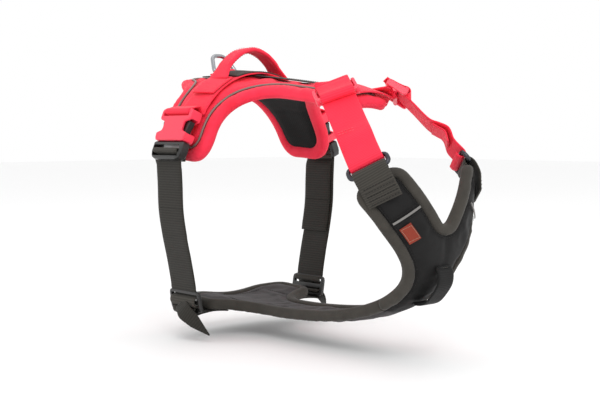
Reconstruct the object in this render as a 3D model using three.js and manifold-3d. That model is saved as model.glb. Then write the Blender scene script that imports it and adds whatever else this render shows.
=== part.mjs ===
// A dog's no-pull harness: padded saddle with a grab handle and a leash ring, two side-release
// buckles on a girth strap, a belly pad and breast strap that end in a Y-shaped chest piece, and
// two adjustable neck straps.
// Millimetres. The front of the dog is -Y, its left is +X, up is +Z. The origin is the middle of
// the saddle's underside, directly below the handle.
import * as THREE from "three";
import { mergeVertices } from "three/addons/utils/BufferGeometryUtils.js";
import Module from "manifold-3d";

const wasm = await Module();
wasm.setup();

// ---------------------------------------------------------------- driving dimensions
const GAP = 0.3; // between pieces that touch on the real harness
const GIRTH_WEB = { width: 38, thick: 1.8 };
const NECK_WEB = { width: 30, thick: 1.8 };

const SADDLE = { thick: 12, lining: 1.6, shell: 2, rim: 12, radius: 72, reach: 112 };
const LOWER_PAD = { thick: 11, lining: 1.6, shell: 2, rim: 9.5, strapHalf: 25 };
const PIPING = 1; // radius
const LAYER_INSET = 2.2; // between a rim and the layers inside it
const LAYER_GAP = 1.3; // between the layers of a pad
const SEWN_LIFT = 1.5; // of webbing and tape over a pad's outer face

// The inner face of the belly, breast and chest pads along the dog's keel, as (y, z) points.
const KEEL = [
  [34, -206], [0, -208], [-50, -210], [-97, -209], [-140, -205], [-180, -196], [-208, -184],
  [-229, -166], [-240, -145], [-244, -120], [-245, -94], [-243, -68], [-238, -44],
];
const CHEST_RADIUS = 80; // of the chest seen from above
const BELLY_RISE = 6; // the belly pad's sides above its middle
const CROTCH_V = 317; // where the two chest arms meet, along the keel
const SEAM_V = 235; // where the breast strap is sewn to the chest piece

const COLOURS = {
  coral: 0xff4660,
  taupe: 0x554f48,
  charcoal: 0x2f2d2b,
  webbing: 0x3e3a34,
  belly: 0x565052,
  reflective: 0xb9aea6,
  aluminium: 0xc9cacc,
  gunmetal: 0x3a3a3c,
  plastic: 0x2a2a2a,
  foam: 0x6a6a6a,
  label: 0xc8502e,
};

// ---------------------------------------------------------------- small helpers
const rad = THREE.MathUtils.degToRad;
const vec = (x, y, z) => new THREE.Vector3(x, y, z);
const lerp = THREE.MathUtils.lerp;
const smooth = (x, a, b) => THREE.MathUtils.smoothstep(x, a, b);

function material(colour, roughness = 0.85, metalness = 0) {
  return new THREE.MeshStandardMaterial({ color: COLOURS[colour], roughness, metalness });
}

const harness = new THREE.Group();
const sides = {
  right: new THREE.Group(),
  left: new THREE.Group(),
};
sides.left.scale.x = -1;
harness.add(sides.right, sides.left);

function addPiece(name, geometry, finish, parent = harness) {
  const mesh = new THREE.Mesh(geometry, finish);
  mesh.name = name;
  parent.add(mesh);
  return mesh;
}

// A piece that exists on both sides is drawn on the dog's right and mirrored to its left.
function addPair(name, makeGeometry, finish) {
  for (const side of ["right", "left"]) {
    addPiece(`${side}_${name}`, makeGeometry(), finish, sides[side]);
  }
}

function toGeometry(positions, triangles) {
  const geometry = new THREE.BufferGeometry();
  geometry.setAttribute("position", new THREE.Float32BufferAttribute(positions, 3));
  geometry.setIndex(triangles);
  return geometry;
}

function toSolid(geometry) {
  const bare = geometry.clone();
  bare.deleteAttribute("normal");
  bare.deleteAttribute("uv");
  const merged = mergeVertices(bare, 1e-3);
  return new wasm.Manifold(
    new wasm.Mesh({
      numProp: 3,
      vertProperties: merged.attributes.position.array,
      triVerts: new Uint32Array(merged.index.array),
    }),
  );
}

function fromSolid(solid) {
  const mesh = solid.getMesh();
  return toGeometry(Array.from(mesh.vertProperties), Array.from(mesh.triVerts));
}

function joined(...geometries) {
  return fromSolid(geometries.map(toSolid).reduce((all, next) => all.add(next)));
}

function cut(geometry, ...tools) {
  return fromSolid(tools.map(toSolid).reduce((rest, tool) => rest.subtract(tool), toSolid(geometry)));
}

// ---------------------------------------------------------------- closed shapes from grids
// A tube through rings of points: each ring is one section, counter-clockwise about the path.
function tubeThrough(rings, closed) {
  const around = rings[0].length;
  const positions = rings.flat().flatMap((p) => [p.x, p.y, p.z]);
  const triangles = [];
  const last = closed ? rings.length : rings.length - 1;
  for (let i = 0; i < last; i += 1) {
    const next = (i + 1) % rings.length;
    for (let j = 0; j < around; j += 1) {
      const k = (j + 1) % around;
      const [a, b] = [i * around + j, i * around + k];
      const [c, d] = [next * around + k, next * around + j];
      triangles.push(a, b, c, a, c, d);
    }
  }
  if (!closed) {
    const end = (rings.length - 1) * around;
    for (let j = 1; j < around - 1; j += 1) {
      triangles.push(0, j + 1, j, end, end + j, end + j + 1);
    }
  }
  return outward(toGeometry(positions, triangles));
}

// A plate between two grids of points with the same rows and columns.
function plateBetween(lower, upper) {
  const rows = lower.length;
  const columns = lower[0].length;
  const count = rows * columns;
  const positions = [...lower.flat(), ...upper.flat()].flatMap((p) => [p.x, p.y, p.z]);
  const triangles = [];
  for (let i = 0; i < rows - 1; i += 1) {
    for (let j = 0; j < columns - 1; j += 1) {
      const [a, b] = [i * columns + j, i * columns + j + 1];
      const [c, d] = [a + columns + 1, a + columns];
      triangles.push(a, b, c, a, c, d);
      triangles.push(count + a, count + c, count + b, count + a, count + d, count + c);
    }
  }
  const border = [];
  for (let j = 0; j < columns - 1; j += 1) border.push(j);
  for (let i = 0; i < rows - 1; i += 1) border.push(i * columns + columns - 1);
  for (let j = columns - 1; j > 0; j -= 1) border.push((rows - 1) * columns + j);
  for (let i = rows - 1; i > 0; i -= 1) border.push(i * columns);
  border.forEach((a, k) => {
    const b = border[(k + 1) % border.length];
    triangles.push(a, count + a, count + b, a, count + b, b);
  });
  return outward(toGeometry(positions, triangles));
}

// The same closed shape with its faces turned to point out.
function outward(geometry) {
  if (toSolid(geometry).volume() >= 0) return geometry;
  const index = geometry.getIndex().array;
  for (let i = 0; i < index.length; i += 3) [index[i + 1], index[i + 2]] = [index[i + 2], index[i + 1]];
  return geometry;
}

// Webbing: a flat band along a path, lying on the side its normals point away from.
function ribbon(path, across, width, thick) {
  const rows = path.map((p, i) => {
    const along = path[Math.min(i + 1, path.length - 1)].clone().sub(path[Math.max(i - 1, 0)]).normalize();
    const side = across[i].clone().addScaledVector(along, -across[i].dot(along)).normalize();
    const normal = along.clone().cross(side);
    const at = (w, h) => p.clone().addScaledVector(side, w).addScaledVector(normal, h);
    const pair = (h) => [at(-width / 2, h), at(width / 2, h)];
    return { lower: pair(0), upper: pair(thick) };
  });
  return plateBetween(rows.map((r) => r.lower), rows.map((r) => r.upper));
}

// A round wire or cord along a path.
function cord(path, radius, around, closed) {
  const n = path.length;
  const rings = path.map((p, i) => {
    const before = closed ? path[(i + n - 1) % n] : path[Math.max(i - 1, 0)];
    const after = closed ? path[(i + 1) % n] : path[Math.min(i + 1, n - 1)];
    const along = after.clone().sub(before).normalize();
    const helper = Math.abs(along.z) < 0.9 ? vec(0, 0, 1) : vec(1, 0, 0);
    const side = along.clone().cross(helper).normalize();
    const up = side.clone().cross(along);
    return Array.from({ length: around }, (_, k) => {
      const angle = (2 * Math.PI * k) / around;
      const [x, y] = [radius * Math.cos(angle), radius * Math.sin(angle)];
      return p.clone().addScaledVector(side, x).addScaledVector(up, y);
    });
  });
  return tubeThrough(rings, closed);
}

// ---------------------------------------------------------------- body forms
// Each form turns a flat pattern point (s across the dog, v along it) and a height above the
// fabric's inner face into a place in space.
function backLine(y) {
  const forward = Math.max(0, 10 - y);
  return -0.041 * Math.pow(forward, 1.21) - 5 * smooth(-y, 135, 175);
}

// The back is an arch of one radius, which falls gently from the shoulders to the neck.
function backPoint(s, y) {
  const angle = s / SADDLE.radius;
  return vec(SADDLE.radius * Math.sin(angle), y, backLine(y) - SADDLE.radius * (1 - Math.cos(angle)));
}

const keelCurve = new THREE.CatmullRomCurve3(KEEL.map(([y, z]) => vec(0, y, z)), false, "centripetal");
keelCurve.arcLengthDivisions = 400;
const keelLength = keelCurve.getLength();

function underPoint(s, v) {
  const t = THREE.MathUtils.clamp(v / keelLength, 0, 1);
  const middle = keelCurve.getPointAt(t);
  const along = keelCurve.getTangentAt(t);
  middle.addScaledVector(along, v - t * keelLength);
  const inward = vec(0, along.z, -along.y);
  const chest = smooth(v, 90, CROTCH_V - 50);
  const angle = s / CHEST_RADIUS;
  const across = lerp(s, CHEST_RADIUS * Math.sin(angle), chest);
  const bellyRise = BELLY_RISE * Math.sin((Math.PI / 2) * Math.min(Math.abs(s) / 62, 1)) ** 2;
  const rise = lerp(bellyRise, CHEST_RADIUS * (1 - Math.cos(angle)), chest);
  return middle.add(vec(across, 0, 0)).addScaledVector(inward, rise);
}

function onForm(form, away) {
  const step = 0.5;
  return (s, v, height = 0) => {
    const acrossStep = form(s + step, v).sub(form(s - step, v));
    const alongStep = form(s, v + step).sub(form(s, v - step));
    const normal = acrossStep.cross(alongStep).normalize().multiplyScalar(away);
    return form(s, v).addScaledVector(normal, height);
  };
}

const onBack = onForm(backPoint, 1);
const onUnder = onForm(underPoint, 1);

// ---------------------------------------------------------------- pattern outlines
// Corners are (s, v, radius); the outline runs round the pattern, corners turned into arcs.
function roundedOutline(corners, arcSteps = 3) {
  const points = [];
  corners.forEach(([s, v, radius], i) => {
    const corner = new THREE.Vector2(s, v);
    const before = corners[(i + corners.length - 1) % corners.length];
    const after = corners[(i + 1) % corners.length];
    const back = new THREE.Vector2(before[0], before[1]).sub(corner).normalize();
    const ahead = new THREE.Vector2(after[0], after[1]).sub(corner).normalize();
    if (radius === 0) {
      points.push(corner);
      return;
    }
    const half = Math.acos(THREE.MathUtils.clamp(back.dot(ahead), -1, 1)) / 2;
    const reach = radius / Math.tan(half);
    const middle = back.clone().add(ahead).normalize().multiplyScalar(radius / Math.sin(half)).add(corner);
    const from = back.clone().multiplyScalar(reach).add(corner).sub(middle);
    const to = ahead.clone().multiplyScalar(reach).add(corner).sub(middle);
    const turn = Math.atan2(from.cross(to), from.dot(to));
    for (let k = 0; k <= arcSteps; k += 1) {
      points.push(from.clone().rotateAround(new THREE.Vector2(), (turn * k) / arcSteps).add(middle));
    }
  });
  return points;
}

// The other half of a symmetric outline; corners on the centre line are given once.
function mirrored(half) {
  const other = half.filter(([s]) => s !== 0).map(([s, v, r]) => [-s, v, r]).reverse();
  return [...half, ...other];
}

// Long straight stretches are split so that they follow the form.
function subdivided(points, longest, closed = true) {
  const out = [];
  const last = closed ? points.length : points.length - 1;
  for (let i = 0; i < last; i += 1) {
    const [a, b] = [points[i], points[(i + 1) % points.length]];
    const pieces = Math.max(1, Math.ceil(a.distanceTo(b) / longest));
    for (let k = 0; k < pieces; k += 1) out.push(a.clone().lerp(b, k / pieces));
  }
  if (!closed) out.push(points[points.length - 1]);
  return out;
}

// Inward directions at the points, lengthened at corners so that an inset keeps its width.
function inwardNormals(points, closed = true) {
  const n = points.length;
  const area = points.reduce((sum, p, i) => sum + p.cross(points[(i + 1) % n]), 0);
  const edgeNormal = (a, b) => {
    const along = b.clone().sub(a).normalize();
    return new THREE.Vector2(-along.y, along.x).multiplyScalar(Math.sign(area));
  };
  return points.map((p, i) => {
    const before = closed || i > 0 ? edgeNormal(points[(i + n - 1) % n], p) : null;
    const after = closed || i < n - 1 ? edgeNormal(p, points[(i + 1) % n]) : null;
    if (!before || !after) return before ?? after;
    return before.clone().add(after).divideScalar(1 + before.dot(after));
  });
}

function inset(points, distance) {
  const normals = inwardNormals(points);
  return points.map((p, i) => p.clone().addScaledVector(normals[i], distance));
}

// The pattern's reach along v at one s.
function reachAt(points, s) {
  const hits = [];
  points.forEach((a, i) => {
    const b = points[(i + 1) % points.length];
    if ((a.x - s) * (b.x - s) < 0) hits.push(lerp(a.y, b.y, (s - a.x) / (b.x - a.x)));
  });
  return [Math.min(...hits), Math.max(...hits)];
}

// A layer of a pad: the outline's inside between two heights, in columns across the dog.
function layer(place, outline, columns, rows, low, high) {
  const grid = (height) =>
    columns.map((s) => {
      const [from, to] = reachAt(outline, s);
      return Array.from({ length: rows + 1 }, (_, i) => place(s, lerp(from, to, i / rows), height));
    });
  return plateBetween(grid(low), grid(high));
}

// A rolled rim: a soft rounded section carried along the pattern's edge.
function rolledRim(place, path, normals, width, thick, closed) {
  const section = [
    [0, 0.5], [0.2, 0.92], [0.8, 1], [1, 0.75], [1, 0.1], [0.2, 0.02],
  ];
  const rings = path.map((p, i) =>
    section.map(([d, h]) => {
      const at = p.clone().addScaledVector(normals[i], d * width);
      return place(at.x, at.y, h * thick);
    }),
  );
  return tubeThrough(rings, closed);
}

function bothSigns(values) {
  return [...values.map((v) => -v).reverse(), 0, ...values];
}

// ---------------------------------------------------------------- saddle
const SADDLE_CORNERS = mirrored([
  [22, 84, 18], [38, 48, 30], [SADDLE.reach, 33, 25], [SADDLE.reach, -34, 25], [31, -34, 50], [28, -164, 19],
]);
const saddleOutline = subdivided(roundedOutline(SADDLE_CORNERS), 26);
const saddleInside = inset(saddleOutline, SADDLE.rim + LAYER_INSET);
const SADDLE_COLUMNS = bothSigns([7, 13.4, 14.6, 16.4, 19, 22.5, 27, 33, 41, 52, 66, 82, 93, 97.4]);
const SADDLE_ROWS = 5;

function buildSaddle() {
  const shellBase = SADDLE.thick - SADDLE.shell;
  const rim = rolledRim(onBack, saddleOutline, inwardNormals(saddleOutline), SADDLE.rim, SADDLE.thick, true);
  addPiece("saddle_rim", rim, material("coral"));
  const part = (low, high) => layer(onBack, saddleInside, SADDLE_COLUMNS, SADDLE_ROWS, low, high);
  addPiece("saddle_shell", part(shellBase, SADDLE.thick), material("coral"));
  addPiece("saddle_padding", part(SADDLE.lining + LAYER_GAP, shellBase - LAYER_GAP), material("foam"));
  addPiece("saddle_lining", part(0, SADDLE.lining), material("charcoal"));
  const seam = inset(saddleOutline, SADDLE.rim + LAYER_INSET / 2);
  const piping = seam.map((p) => onBack(p.x, p.y, SADDLE.thick + PIPING + GAP));
  addPiece("reflective_piping", cord(piping, PIPING, 5, true), material("reflective", 0.5));
}

buildSaddle();

// ---------------------------------------------------------------- belly pad and breast strap
// The layers run on to the sewn seam, so their pattern is drawn past it before it is inset.
const LAYER_EDGE = LOWER_PAD.rim + LAYER_INSET;

function stretchedTo(points, seam, past) {
  return points.map((p) => (Math.abs(p.y - seam) < 0.01 ? new THREE.Vector2(p.x, p.y + past) : p));
}

function padLayers(prefix, outline, seam, past, inner, rows) {
  const inside = inset(stretchedTo(subdivided(outline, 20), seam, past), LAYER_EDGE);
  const widest = Math.max(...inside.map((p) => p.x)) - 0.6;
  const columns = bothSigns([...inner, widest]);
  const top = LOWER_PAD.thick - LOWER_PAD.shell;
  const part = (low, high) => layer(onUnder, inside, columns, rows, low, high);
  addPiece(`${prefix}_shell`, part(top, LOWER_PAD.thick), material("charcoal"));
  addPiece(`${prefix}_padding`, part(LOWER_PAD.lining + LAYER_GAP, top - LAYER_GAP), material("foam"));
  addPiece(`${prefix}_lining`, part(0, LOWER_PAD.lining), material("belly"));
}

function padRim(prefix, outline) {
  const path = subdivided(outline, 22, false);
  const normals = inwardNormals(path, false);
  const rim = rolledRim(onUnder, path, normals, LOWER_PAD.rim, LOWER_PAD.thick, false);
  addPiece(`${prefix}_rim`, rim, material("taupe"));
}

const HALF = LOWER_PAD.strapHalf;
const bellyOutline = roundedOutline([
  [HALF, SEAM_V, 0], [HALF, 64, 24], [66, 54, 13], [66, 12, 13], [34, 0, 30],
  [-34, 0, 30], [-66, 12, 13], [-66, 54, 13], [-HALF, 64, 24], [-HALF, SEAM_V, 0],
]);
padRim("belly", bellyOutline);
padLayers("belly", bellyOutline, SEAM_V, LAYER_EDGE, [7, 12.2, 14, 16.4, 20, 26, 34, 44], 7);

// ---------------------------------------------------------------- chest piece
const ARM = { half: 23, lean: rad(37), s: 63, v: CROTCH_V + 46 };
const armAcross = [Math.cos(ARM.lean), -Math.sin(ARM.lean)];
const armEdge = (w, beyond = 0) => [
  ARM.s + w * armAcross[0] - beyond * armAcross[1],
  ARM.v + w * armAcross[1] + beyond * armAcross[0],
];
const armOuter = armEdge(ARM.half);
const armInner = armEdge(-ARM.half);
const armBend = armOuter[1] - (armOuter[0] - HALF) / Math.tan(ARM.lean);
const chestSeam = SEAM_V + 2 * GAP;
const chestOutline = roundedOutline([
  [HALF, chestSeam, 0], [HALF, armBend, 60], [...armOuter, 14], [...armInner, 14], [0, CROTCH_V, 8],
  [-armInner[0], armInner[1], 14], [-armOuter[0], armOuter[1], 14], [-HALF, armBend, 60],
  [-HALF, chestSeam, 0],
]);
padRim("chest", chestOutline);
padLayers("chest", chestOutline, chestSeam, -LAYER_EDGE, [6, 12, 14, 17, 21, 26, 32, 38, 44, 50, 56, 62], 5);

// ---------------------------------------------------------------- pieces sewn to the pads
// A strip of webbing or tape laid on a form, through pattern points.
function stripOn(place, points, across, height, web) {
  const path = points.map(([s, v, lift = 0]) => place(s, v, height + lift));
  const sides = points.map(([s, v]) => place(s + across[0], v + across[1]).sub(place(s, v)));
  return ribbon(path, sides, web.width, web.thick);
}

function evenly(from, to, steps) {
  return Array.from({ length: steps + 1 }, (_, i) => lerp(from, to, i / steps));
}

const SPINE_STRIP = { width: 16, thick: 1, rear: 66, front: -146 };
const BAND_HEIGHT = SADDLE.thick + SPINE_STRIP.thick + 1.1;
const bandEdge = 60; // where the back band leaves the saddle for the buckle's bar

function buildSaddleWebbing() {
  const spine = evenly(SPINE_STRIP.rear, SPINE_STRIP.front, 16).map((y) => [0, y]);
  const strip = stripOn(onBack, spine, [1, 0], SADDLE.thick + GAP, SPINE_STRIP);
  addPiece("spine_strip", strip, material("webbing"));
  const band = evenly(-bandEdge, bandEdge, 16).map((s) => [s, 0]);
  addPiece("back_band", stripOn(onBack, band, [0, 1], BAND_HEIGHT, GIRTH_WEB), material("coral"));
}

buildSaddleWebbing();

// ---------------------------------------------------------------- side-release buckles
// Buckle axes: u down the strap from the mouth, w across it, t away from the dog.
const BUCKLE = {
  lean: 67.5, drop: 56.5, width: 46, length: 32, thick: 13, wall: 2.5, post: 4, throat: 8, waist: 8,
};

function buckleFrame() {
  const u = vec(-Math.cos(rad(BUCKLE.lean)), 0, -Math.sin(rad(BUCKLE.lean)));
  const t = vec(-Math.sin(rad(BUCKLE.lean)), 0, Math.cos(rad(BUCKLE.lean)));
  const w = t.clone().cross(u);
  const touch = (BUCKLE.lean * Math.PI * SADDLE.radius) / 180;
  const seat = onBack(-touch, 0, BAND_HEIGHT + GIRTH_WEB.thick + GAP);
  const mouth = seat.addScaledVector(u, (seat.z + BUCKLE.drop) / -u.z);
  return new THREE.Matrix4().makeBasis(u, w, t).setPosition(mouth);
}

const onBuckle = buckleFrame();

// A box between two corners given in a local frame.
function block(from, to, frame) {
  const size = to.map((v, i) => Math.abs(v - from[i]));
  const middle = to.map((v, i) => (v + from[i]) / 2);
  const box = new THREE.BoxGeometry(...size).translate(...middle);
  return frame ? box.applyMatrix4(frame) : box;
}

// A flat plate cut from an outline of (u, w) corners, with rounded edges.
function plate(corners, low, high, bevel = 0.8, arcSteps = 2) {
  const shape = new THREE.Shape(roundedOutline(corners, arcSteps));
  const depth = high - low - 2 * bevel;
  const options = { depth, bevelThickness: bevel, bevelSize: bevel, bevelOffset: -bevel, bevelSegments: 1 };
  return new THREE.ExtrudeGeometry(shape, options).translate(0, 0, low + bevel);
}

function buckleBody() {
  const half = BUCKLE.width / 2;
  const top = -BUCKLE.length;
  const waist = half - BUCKLE.waist;
  const edge = [
    [0, half - 1.5, 3], [-8, half, 2], [-10.5, waist, 2.5], [-19, waist, 2.5], [-21.5, half, 2],
    [top, half, 3],
  ];
  const otherEdge = edge.map(([u, w, r]) => [u, -w, r]).reverse();
  const shell = plate(
    [...edge, ...otherEdge],
    0,
    BUCKLE.thick,
  );
  const inside = half - BUCKLE.post;
  const floor = BUCKLE.wall;
  const ceiling = BUCKLE.thick - BUCKLE.wall;
  const cavity = block([-22.5, -inside, floor], [2, inside, ceiling]);
  const windows = block([-22.5, -half - 2, floor], [-BUCKLE.throat, half + 2, ceiling]);
  const slot = block([top + 3.5, -19.6, -2], [top + 7.5, 19.6, BUCKLE.thick + 2]);
  return cut(shell, cavity, windows, slot).applyMatrix4(onBuckle);
}

// The male half: a frame with two bars for the strap and a guide tongue.
const INSERT = { low: 3, high: 12, length: 18, half: 22.5 };

function buckleInsert() {
  const { low, high, length, half } = INSERT;
  const corners = [[GAP, half, 2], [length, half, 7], [length, -half, 7], [GAP, -half, 2]];
  const frame = plate(corners, low - 1.5, high, 1.6);
  const tongue = block([-18, -4, low + 1], [2, 4, high - 3]);
  const slots = [4.2, 11.4].map((u) => block([u, -19.6, low - 4], [u + 3.6, 19.6, high + 2]));
  return cut(joined(frame, tongue), ...slots).applyMatrix4(onBuckle);
}

// A prong's outer face bows out no faster than the prong swings in while the insert slides out.
const PRONG = { tip: -20, outer: BUCKLE.width / 2 - BUCKLE.post - 0.5, thick: 3.2, slide: 24, swing: 15 };

function buckleProng(sign) {
  const rate = rad(PRONG.swing) / PRONG.slide;
  const bow = (u) => {
    const past = Math.max(0, -BUCKLE.throat - u);
    return rate * (10 + past) * past * 0.9;
  };
  const stations = evenly(-0.2, PRONG.tip, 9);
  const outer = stations.map((u) => new THREE.Vector2(u, PRONG.outer + bow(u)));
  outer.push(new THREE.Vector2(PRONG.tip - 0.9, PRONG.outer - 0.5));
  const inner = [PRONG.tip - 0.9, PRONG.tip + 3, -0.2].map(
    (u, i) => new THREE.Vector2(u, PRONG.outer - PRONG.thick + (i === 0 ? 1 : 0)),
  );
  const shape = new THREE.Shape([...outer, ...inner]);
  const prong = new THREE.ExtrudeGeometry(shape, { depth: 6, bevelEnabled: false }).translate(0, 0, 3.5);
  if (sign < 0) {
    prong.rotateX(Math.PI).translate(0, 0, 13);
  }
  return prong.applyMatrix4(onBuckle);
}

addPair("buckle_body", buckleBody, material("coral", 0.35));
addPair("buckle_insert", buckleInsert, material("plastic", 0.4));
addPair("buckle_prong_front", () => buckleProng(1), material("plastic", 0.4));
addPair("buckle_prong_rear", () => buckleProng(-1), material("plastic", 0.4));

// The strap's turn over the insert's middle bar, which rides with the insert.
function insertTurn() {
  const path = [[7.3, 2.5], [7.3, 11.4], [8.1, 13], [11.1, 13], [11.9, 11.4], [11.9, 2.5]];
  const points = path.map(([u, t]) => vec(u, 0, t));
  const across = points.map(() => vec(0, 1, 0));
  return ribbon(points, across, GIRTH_WEB.width, GIRTH_WEB.thick).applyMatrix4(onBuckle);
}

addPair("buckle_turn", insertTurn, material("webbing"));

// ---------------------------------------------------------------- girth straps
const mouthExit = vec(INSERT.length + 1.2, 0, 4).applyMatrix4(onBuckle);
const GIRTH_PATH = [
  mouthExit, vec(-97.5, 0, -92), vec(-96.5, 0, -118), vec(-92.5, 0, -142), vec(-87, 0, -166),
  vec(-82.3, 0, -191),
];
const girthCurve = new THREE.CatmullRomCurve3(GIRTH_PATH, false, "centripetal");
const GIRTH_SPLIT = 0.36; // the share of the strap that gives when the buckle is drawn out

function girthStrap(from, to, steps) {
  const path = evenly(from, to, steps).map((t) => girthCurve.getPointAt(t));
  return ribbon(path, path.map(() => vec(0, -1, 0)), GIRTH_WEB.width, GIRTH_WEB.thick);
}

addPair("girth_strap_upper", () => girthStrap(0, GIRTH_SPLIT, 6), material("webbing"));
addPair("girth_strap", () => girthStrap(GIRTH_SPLIT + 0.005, 1, 9), material("webbing"));

// ---------------------------------------------------------------- belly sliders
// Slider axes: u down the strap, w across it, t away from the dog.
function frameOf(middle, down, across) {
  const u = down.clone().normalize();
  const w = across.clone().addScaledVector(u, -across.dot(u)).normalize();
  return new THREE.Matrix4().makeBasis(u, w, u.clone().cross(w)).setPosition(middle);
}

const SLIDER = { length: 21, width: 46, thick: 4, bar: 3.2 };
const onBellySlider = frameOf(vec(-80.2, 0, -204.5), vec(0.16, 0, -1), vec(0, -1, 0));

function bellySlider() {
  const { length, width, thick, bar } = SLIDER;
  const [l, w] = [length / 2, width / 2];
  const frame = plate([[-l, w, 4], [-l, -w, 4], [l, -w, 4], [l, w, 4]], -thick / 2, thick / 2, 0.8);
  const slot = (from, to) => block([from, -19.7, -thick], [to, 19.7, thick]);
  return cut(frame, slot(-l + bar, -2), slot(2, l - bar)).applyMatrix4(onBellySlider);
}

// The strap's run over the slider's middle bar, from the upper slot to the lower one.
function bellyTurn() {
  const path = [[-3.6, -4], [-2.6, -1.4], [-2.6, 1.4], [-1.4, 2.6], [1.4, 2.6], [2.6, 1.4], [2.6, -3]];
  const points = path.map(([u, t]) => vec(u, 0, t).applyMatrix4(onBellySlider));
  return ribbon(points, points.map(() => vec(0, -1, 0)), GIRTH_WEB.width, GIRTH_WEB.thick);
}

// The tab that is sewn under the belly pad and looped round the slider's lower bar.
function bellyTab() {
  const bar = SLIDER.length / 2 - SLIDER.bar / 2;
  const loop = evenly(200, -50, 9).map((a) => {
    return vec(bar - 2.4 * Math.cos(rad(a)), 0, 3 * Math.sin(rad(a))).applyMatrix4(onBellySlider);
  });
  const sewn = [40, 50, 60].map((s) => onUnder(-s, 34, LOWER_PAD.thick + SEWN_LIFT));
  const path = [...sewn, ...loop];
  return ribbon(path, path.map(() => vec(0, 1, 0)), 34, 1.6);
}

// The strap's loose end, cut to a point.
function girthTail() {
  const path = [
    vec(-88.5, -9, -213), vec(-86.5, -18, -220), vec(-81.5, -25, -227.5), vec(-75.5, -30, -234.5),
  ];
  const widths = [15, 14, 9, 2.5];
  const across = vec(0.3, -0.58, 0.74).normalize();
  const rows = path.map((p, i) => {
    const along = path[Math.min(i + 1, 3)].clone().sub(path[Math.max(i - 1, 0)]).normalize();
    const lift = along.cross(across).normalize().multiplyScalar(1.4);
    const low = [-0.5, 0.5].map((w) => p.clone().addScaledVector(across, w * widths[i]));
    return { low, high: low.map((q) => q.clone().add(lift)) };
  });
  return plateBetween(rows.map((r) => r.low), rows.map((r) => r.high));
}

addPair("belly_slider", bellySlider, material("plastic", 0.4));
addPair("belly_turn", bellyTurn, material("webbing"));
addPair("belly_tab", bellyTab, material("webbing"));
addPair("girth_tail", girthTail, material("webbing"));

// ---------------------------------------------------------------- handle, leash ring and patch
const HANDLE = { half: 35.5, foot: 14.4, peak: 37, width: 19, thick: 4.5 };

function handle() {
  const { half, foot, peak } = HANDLE;
  const curve = new THREE.CatmullRomCurve3([
    vec(-half, 0, foot), vec(-29, 0, 25.5), vec(-15, 0, peak - 3), vec(0, 0, peak),
    vec(15, 0, peak - 3), vec(29, 0, 25.5), vec(half, 0, foot),
  ]);
  const rings = evenly(0, 1, 16).map((t) => {
    const middle = curve.getPointAt(t);
    const normal = curve.getTangentAt(t).cross(vec(0, 1, 0));
    const w = HANDLE.width / 2;
    const h = HANDLE.thick / 2;
    const under = [[-w, -h * 0.5], [-w * 0.7, -h], [w * 0.7, -h], [w, -h * 0.5]];
    const section = [...under, ...under.map(([y, n]) => [-y, -n])];
    return section.map(([y, n]) => middle.clone().addScaledVector(normal, n).add(vec(0, y, 0)));
  });
  return tubeThrough(rings, false);
}

// The handle's sewn feet, on the back band.
function handleFoot() {
  const points = evenly(52, 30, 5).map((s) => [-s, 0]);
  return stripOn(onBack, points, [0, 1], BAND_HEIGHT + GIRTH_WEB.thick + GAP, { width: 33, thick: 1.6 });
}

const RING = { y: 37, barHalf: 15, height: 22, wire: 2, lean: 35, apex: 8 };
const ringPivot = onBack(0, RING.y, SADDLE.thick + GAP + SPINE_STRIP.thick + GAP + RING.wire);

function leashRing() {
  const { barHalf, height, apex } = RING;
  const corners = [[barHalf, 0, 4], [-barHalf, 0, 4], [-apex, height, 8], [apex, height, 8]];
  const outline = roundedOutline(corners, 3);
  const lean = rad(RING.lean);
  const path = outline.map((p) => {
    return ringPivot.clone().add(vec(p.x, p.y * Math.sin(lean), p.y * Math.cos(lean)));
  });
  return cord(path, RING.wire, 8, true);
}

function ringKeeper() {
  const lift = 2 * RING.wire + 2 * GAP;
  const rise = [[-13, 0], [-8, 0.2], [-4.4, lift * 0.6], [-2.2, lift]];
  const profile = [...rise, ...rise.map(([y, h]) => [-y, h]).reverse()];
  const points = profile.map(([y, h]) => [0, RING.y + 0.5 + y, h]);
  const base = SADDLE.thick + SPINE_STRIP.thick + 2 * GAP;
  return stripOn(onBack, points, [-1, 0], base, { width: 20, thick: 1.6 });
}

addPiece("handle", handle(), material("coral"));
addPair("handle_foot", handleFoot, material("coral"));
addPiece("leash_ring", leashRing(), material("aluminium", 0.25, 1));
addPiece("ring_keeper", ringKeeper(), material("coral"));
const patchPath = evenly(-25, 25, 5).map((s) => [s, 0]);
const patchHeight = BAND_HEIGHT + GIRTH_WEB.thick + GAP;
const patch = stripOn(onBack, patchPath, [0, 1], patchHeight, { width: 34, thick: 1 });
addPiece("name_patch", patch, material("taupe"));

// ---------------------------------------------------------------- chest rings, tabs and tape
const armAt = (w, beyond, height) => {
  const [s, v] = armEdge(w, beyond);
  return onUnder(-s, v, height);
};
const CHEST_RING = { beyond: 12.4, half: 17.5, reach: 4.9, wire: 2, height: 9.5 };
const NECK_TOP = vec(-39.5, -161, -10); // the middle of the neck slider
const armTop = armAt(0, 0, CHEST_RING.height);
const neckPull = armTop.clone().sub(NECK_TOP).normalize();
const armInward = armAt(-4, 0, CHEST_RING.height).sub(armAt(4, 0, CHEST_RING.height));
const chestRingMiddle = armTop.clone().addScaledVector(neckPull, -CHEST_RING.beyond);
const onChestRing = frameOf(chestRingMiddle, neckPull, armInward);

function chestRing() {
  const { half, reach, wire } = CHEST_RING;
  const corners = [[-reach, half], [-reach, -half], [reach, -half], [reach, half]];
  const outline = roundedOutline(corners.map(([u, w]) => [u, w, 3.5]), 3);
  return cord(outline.map((p) => vec(p.x, p.y, 0)), wire, 8, true).applyMatrix4(onChestRing);
}

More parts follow.
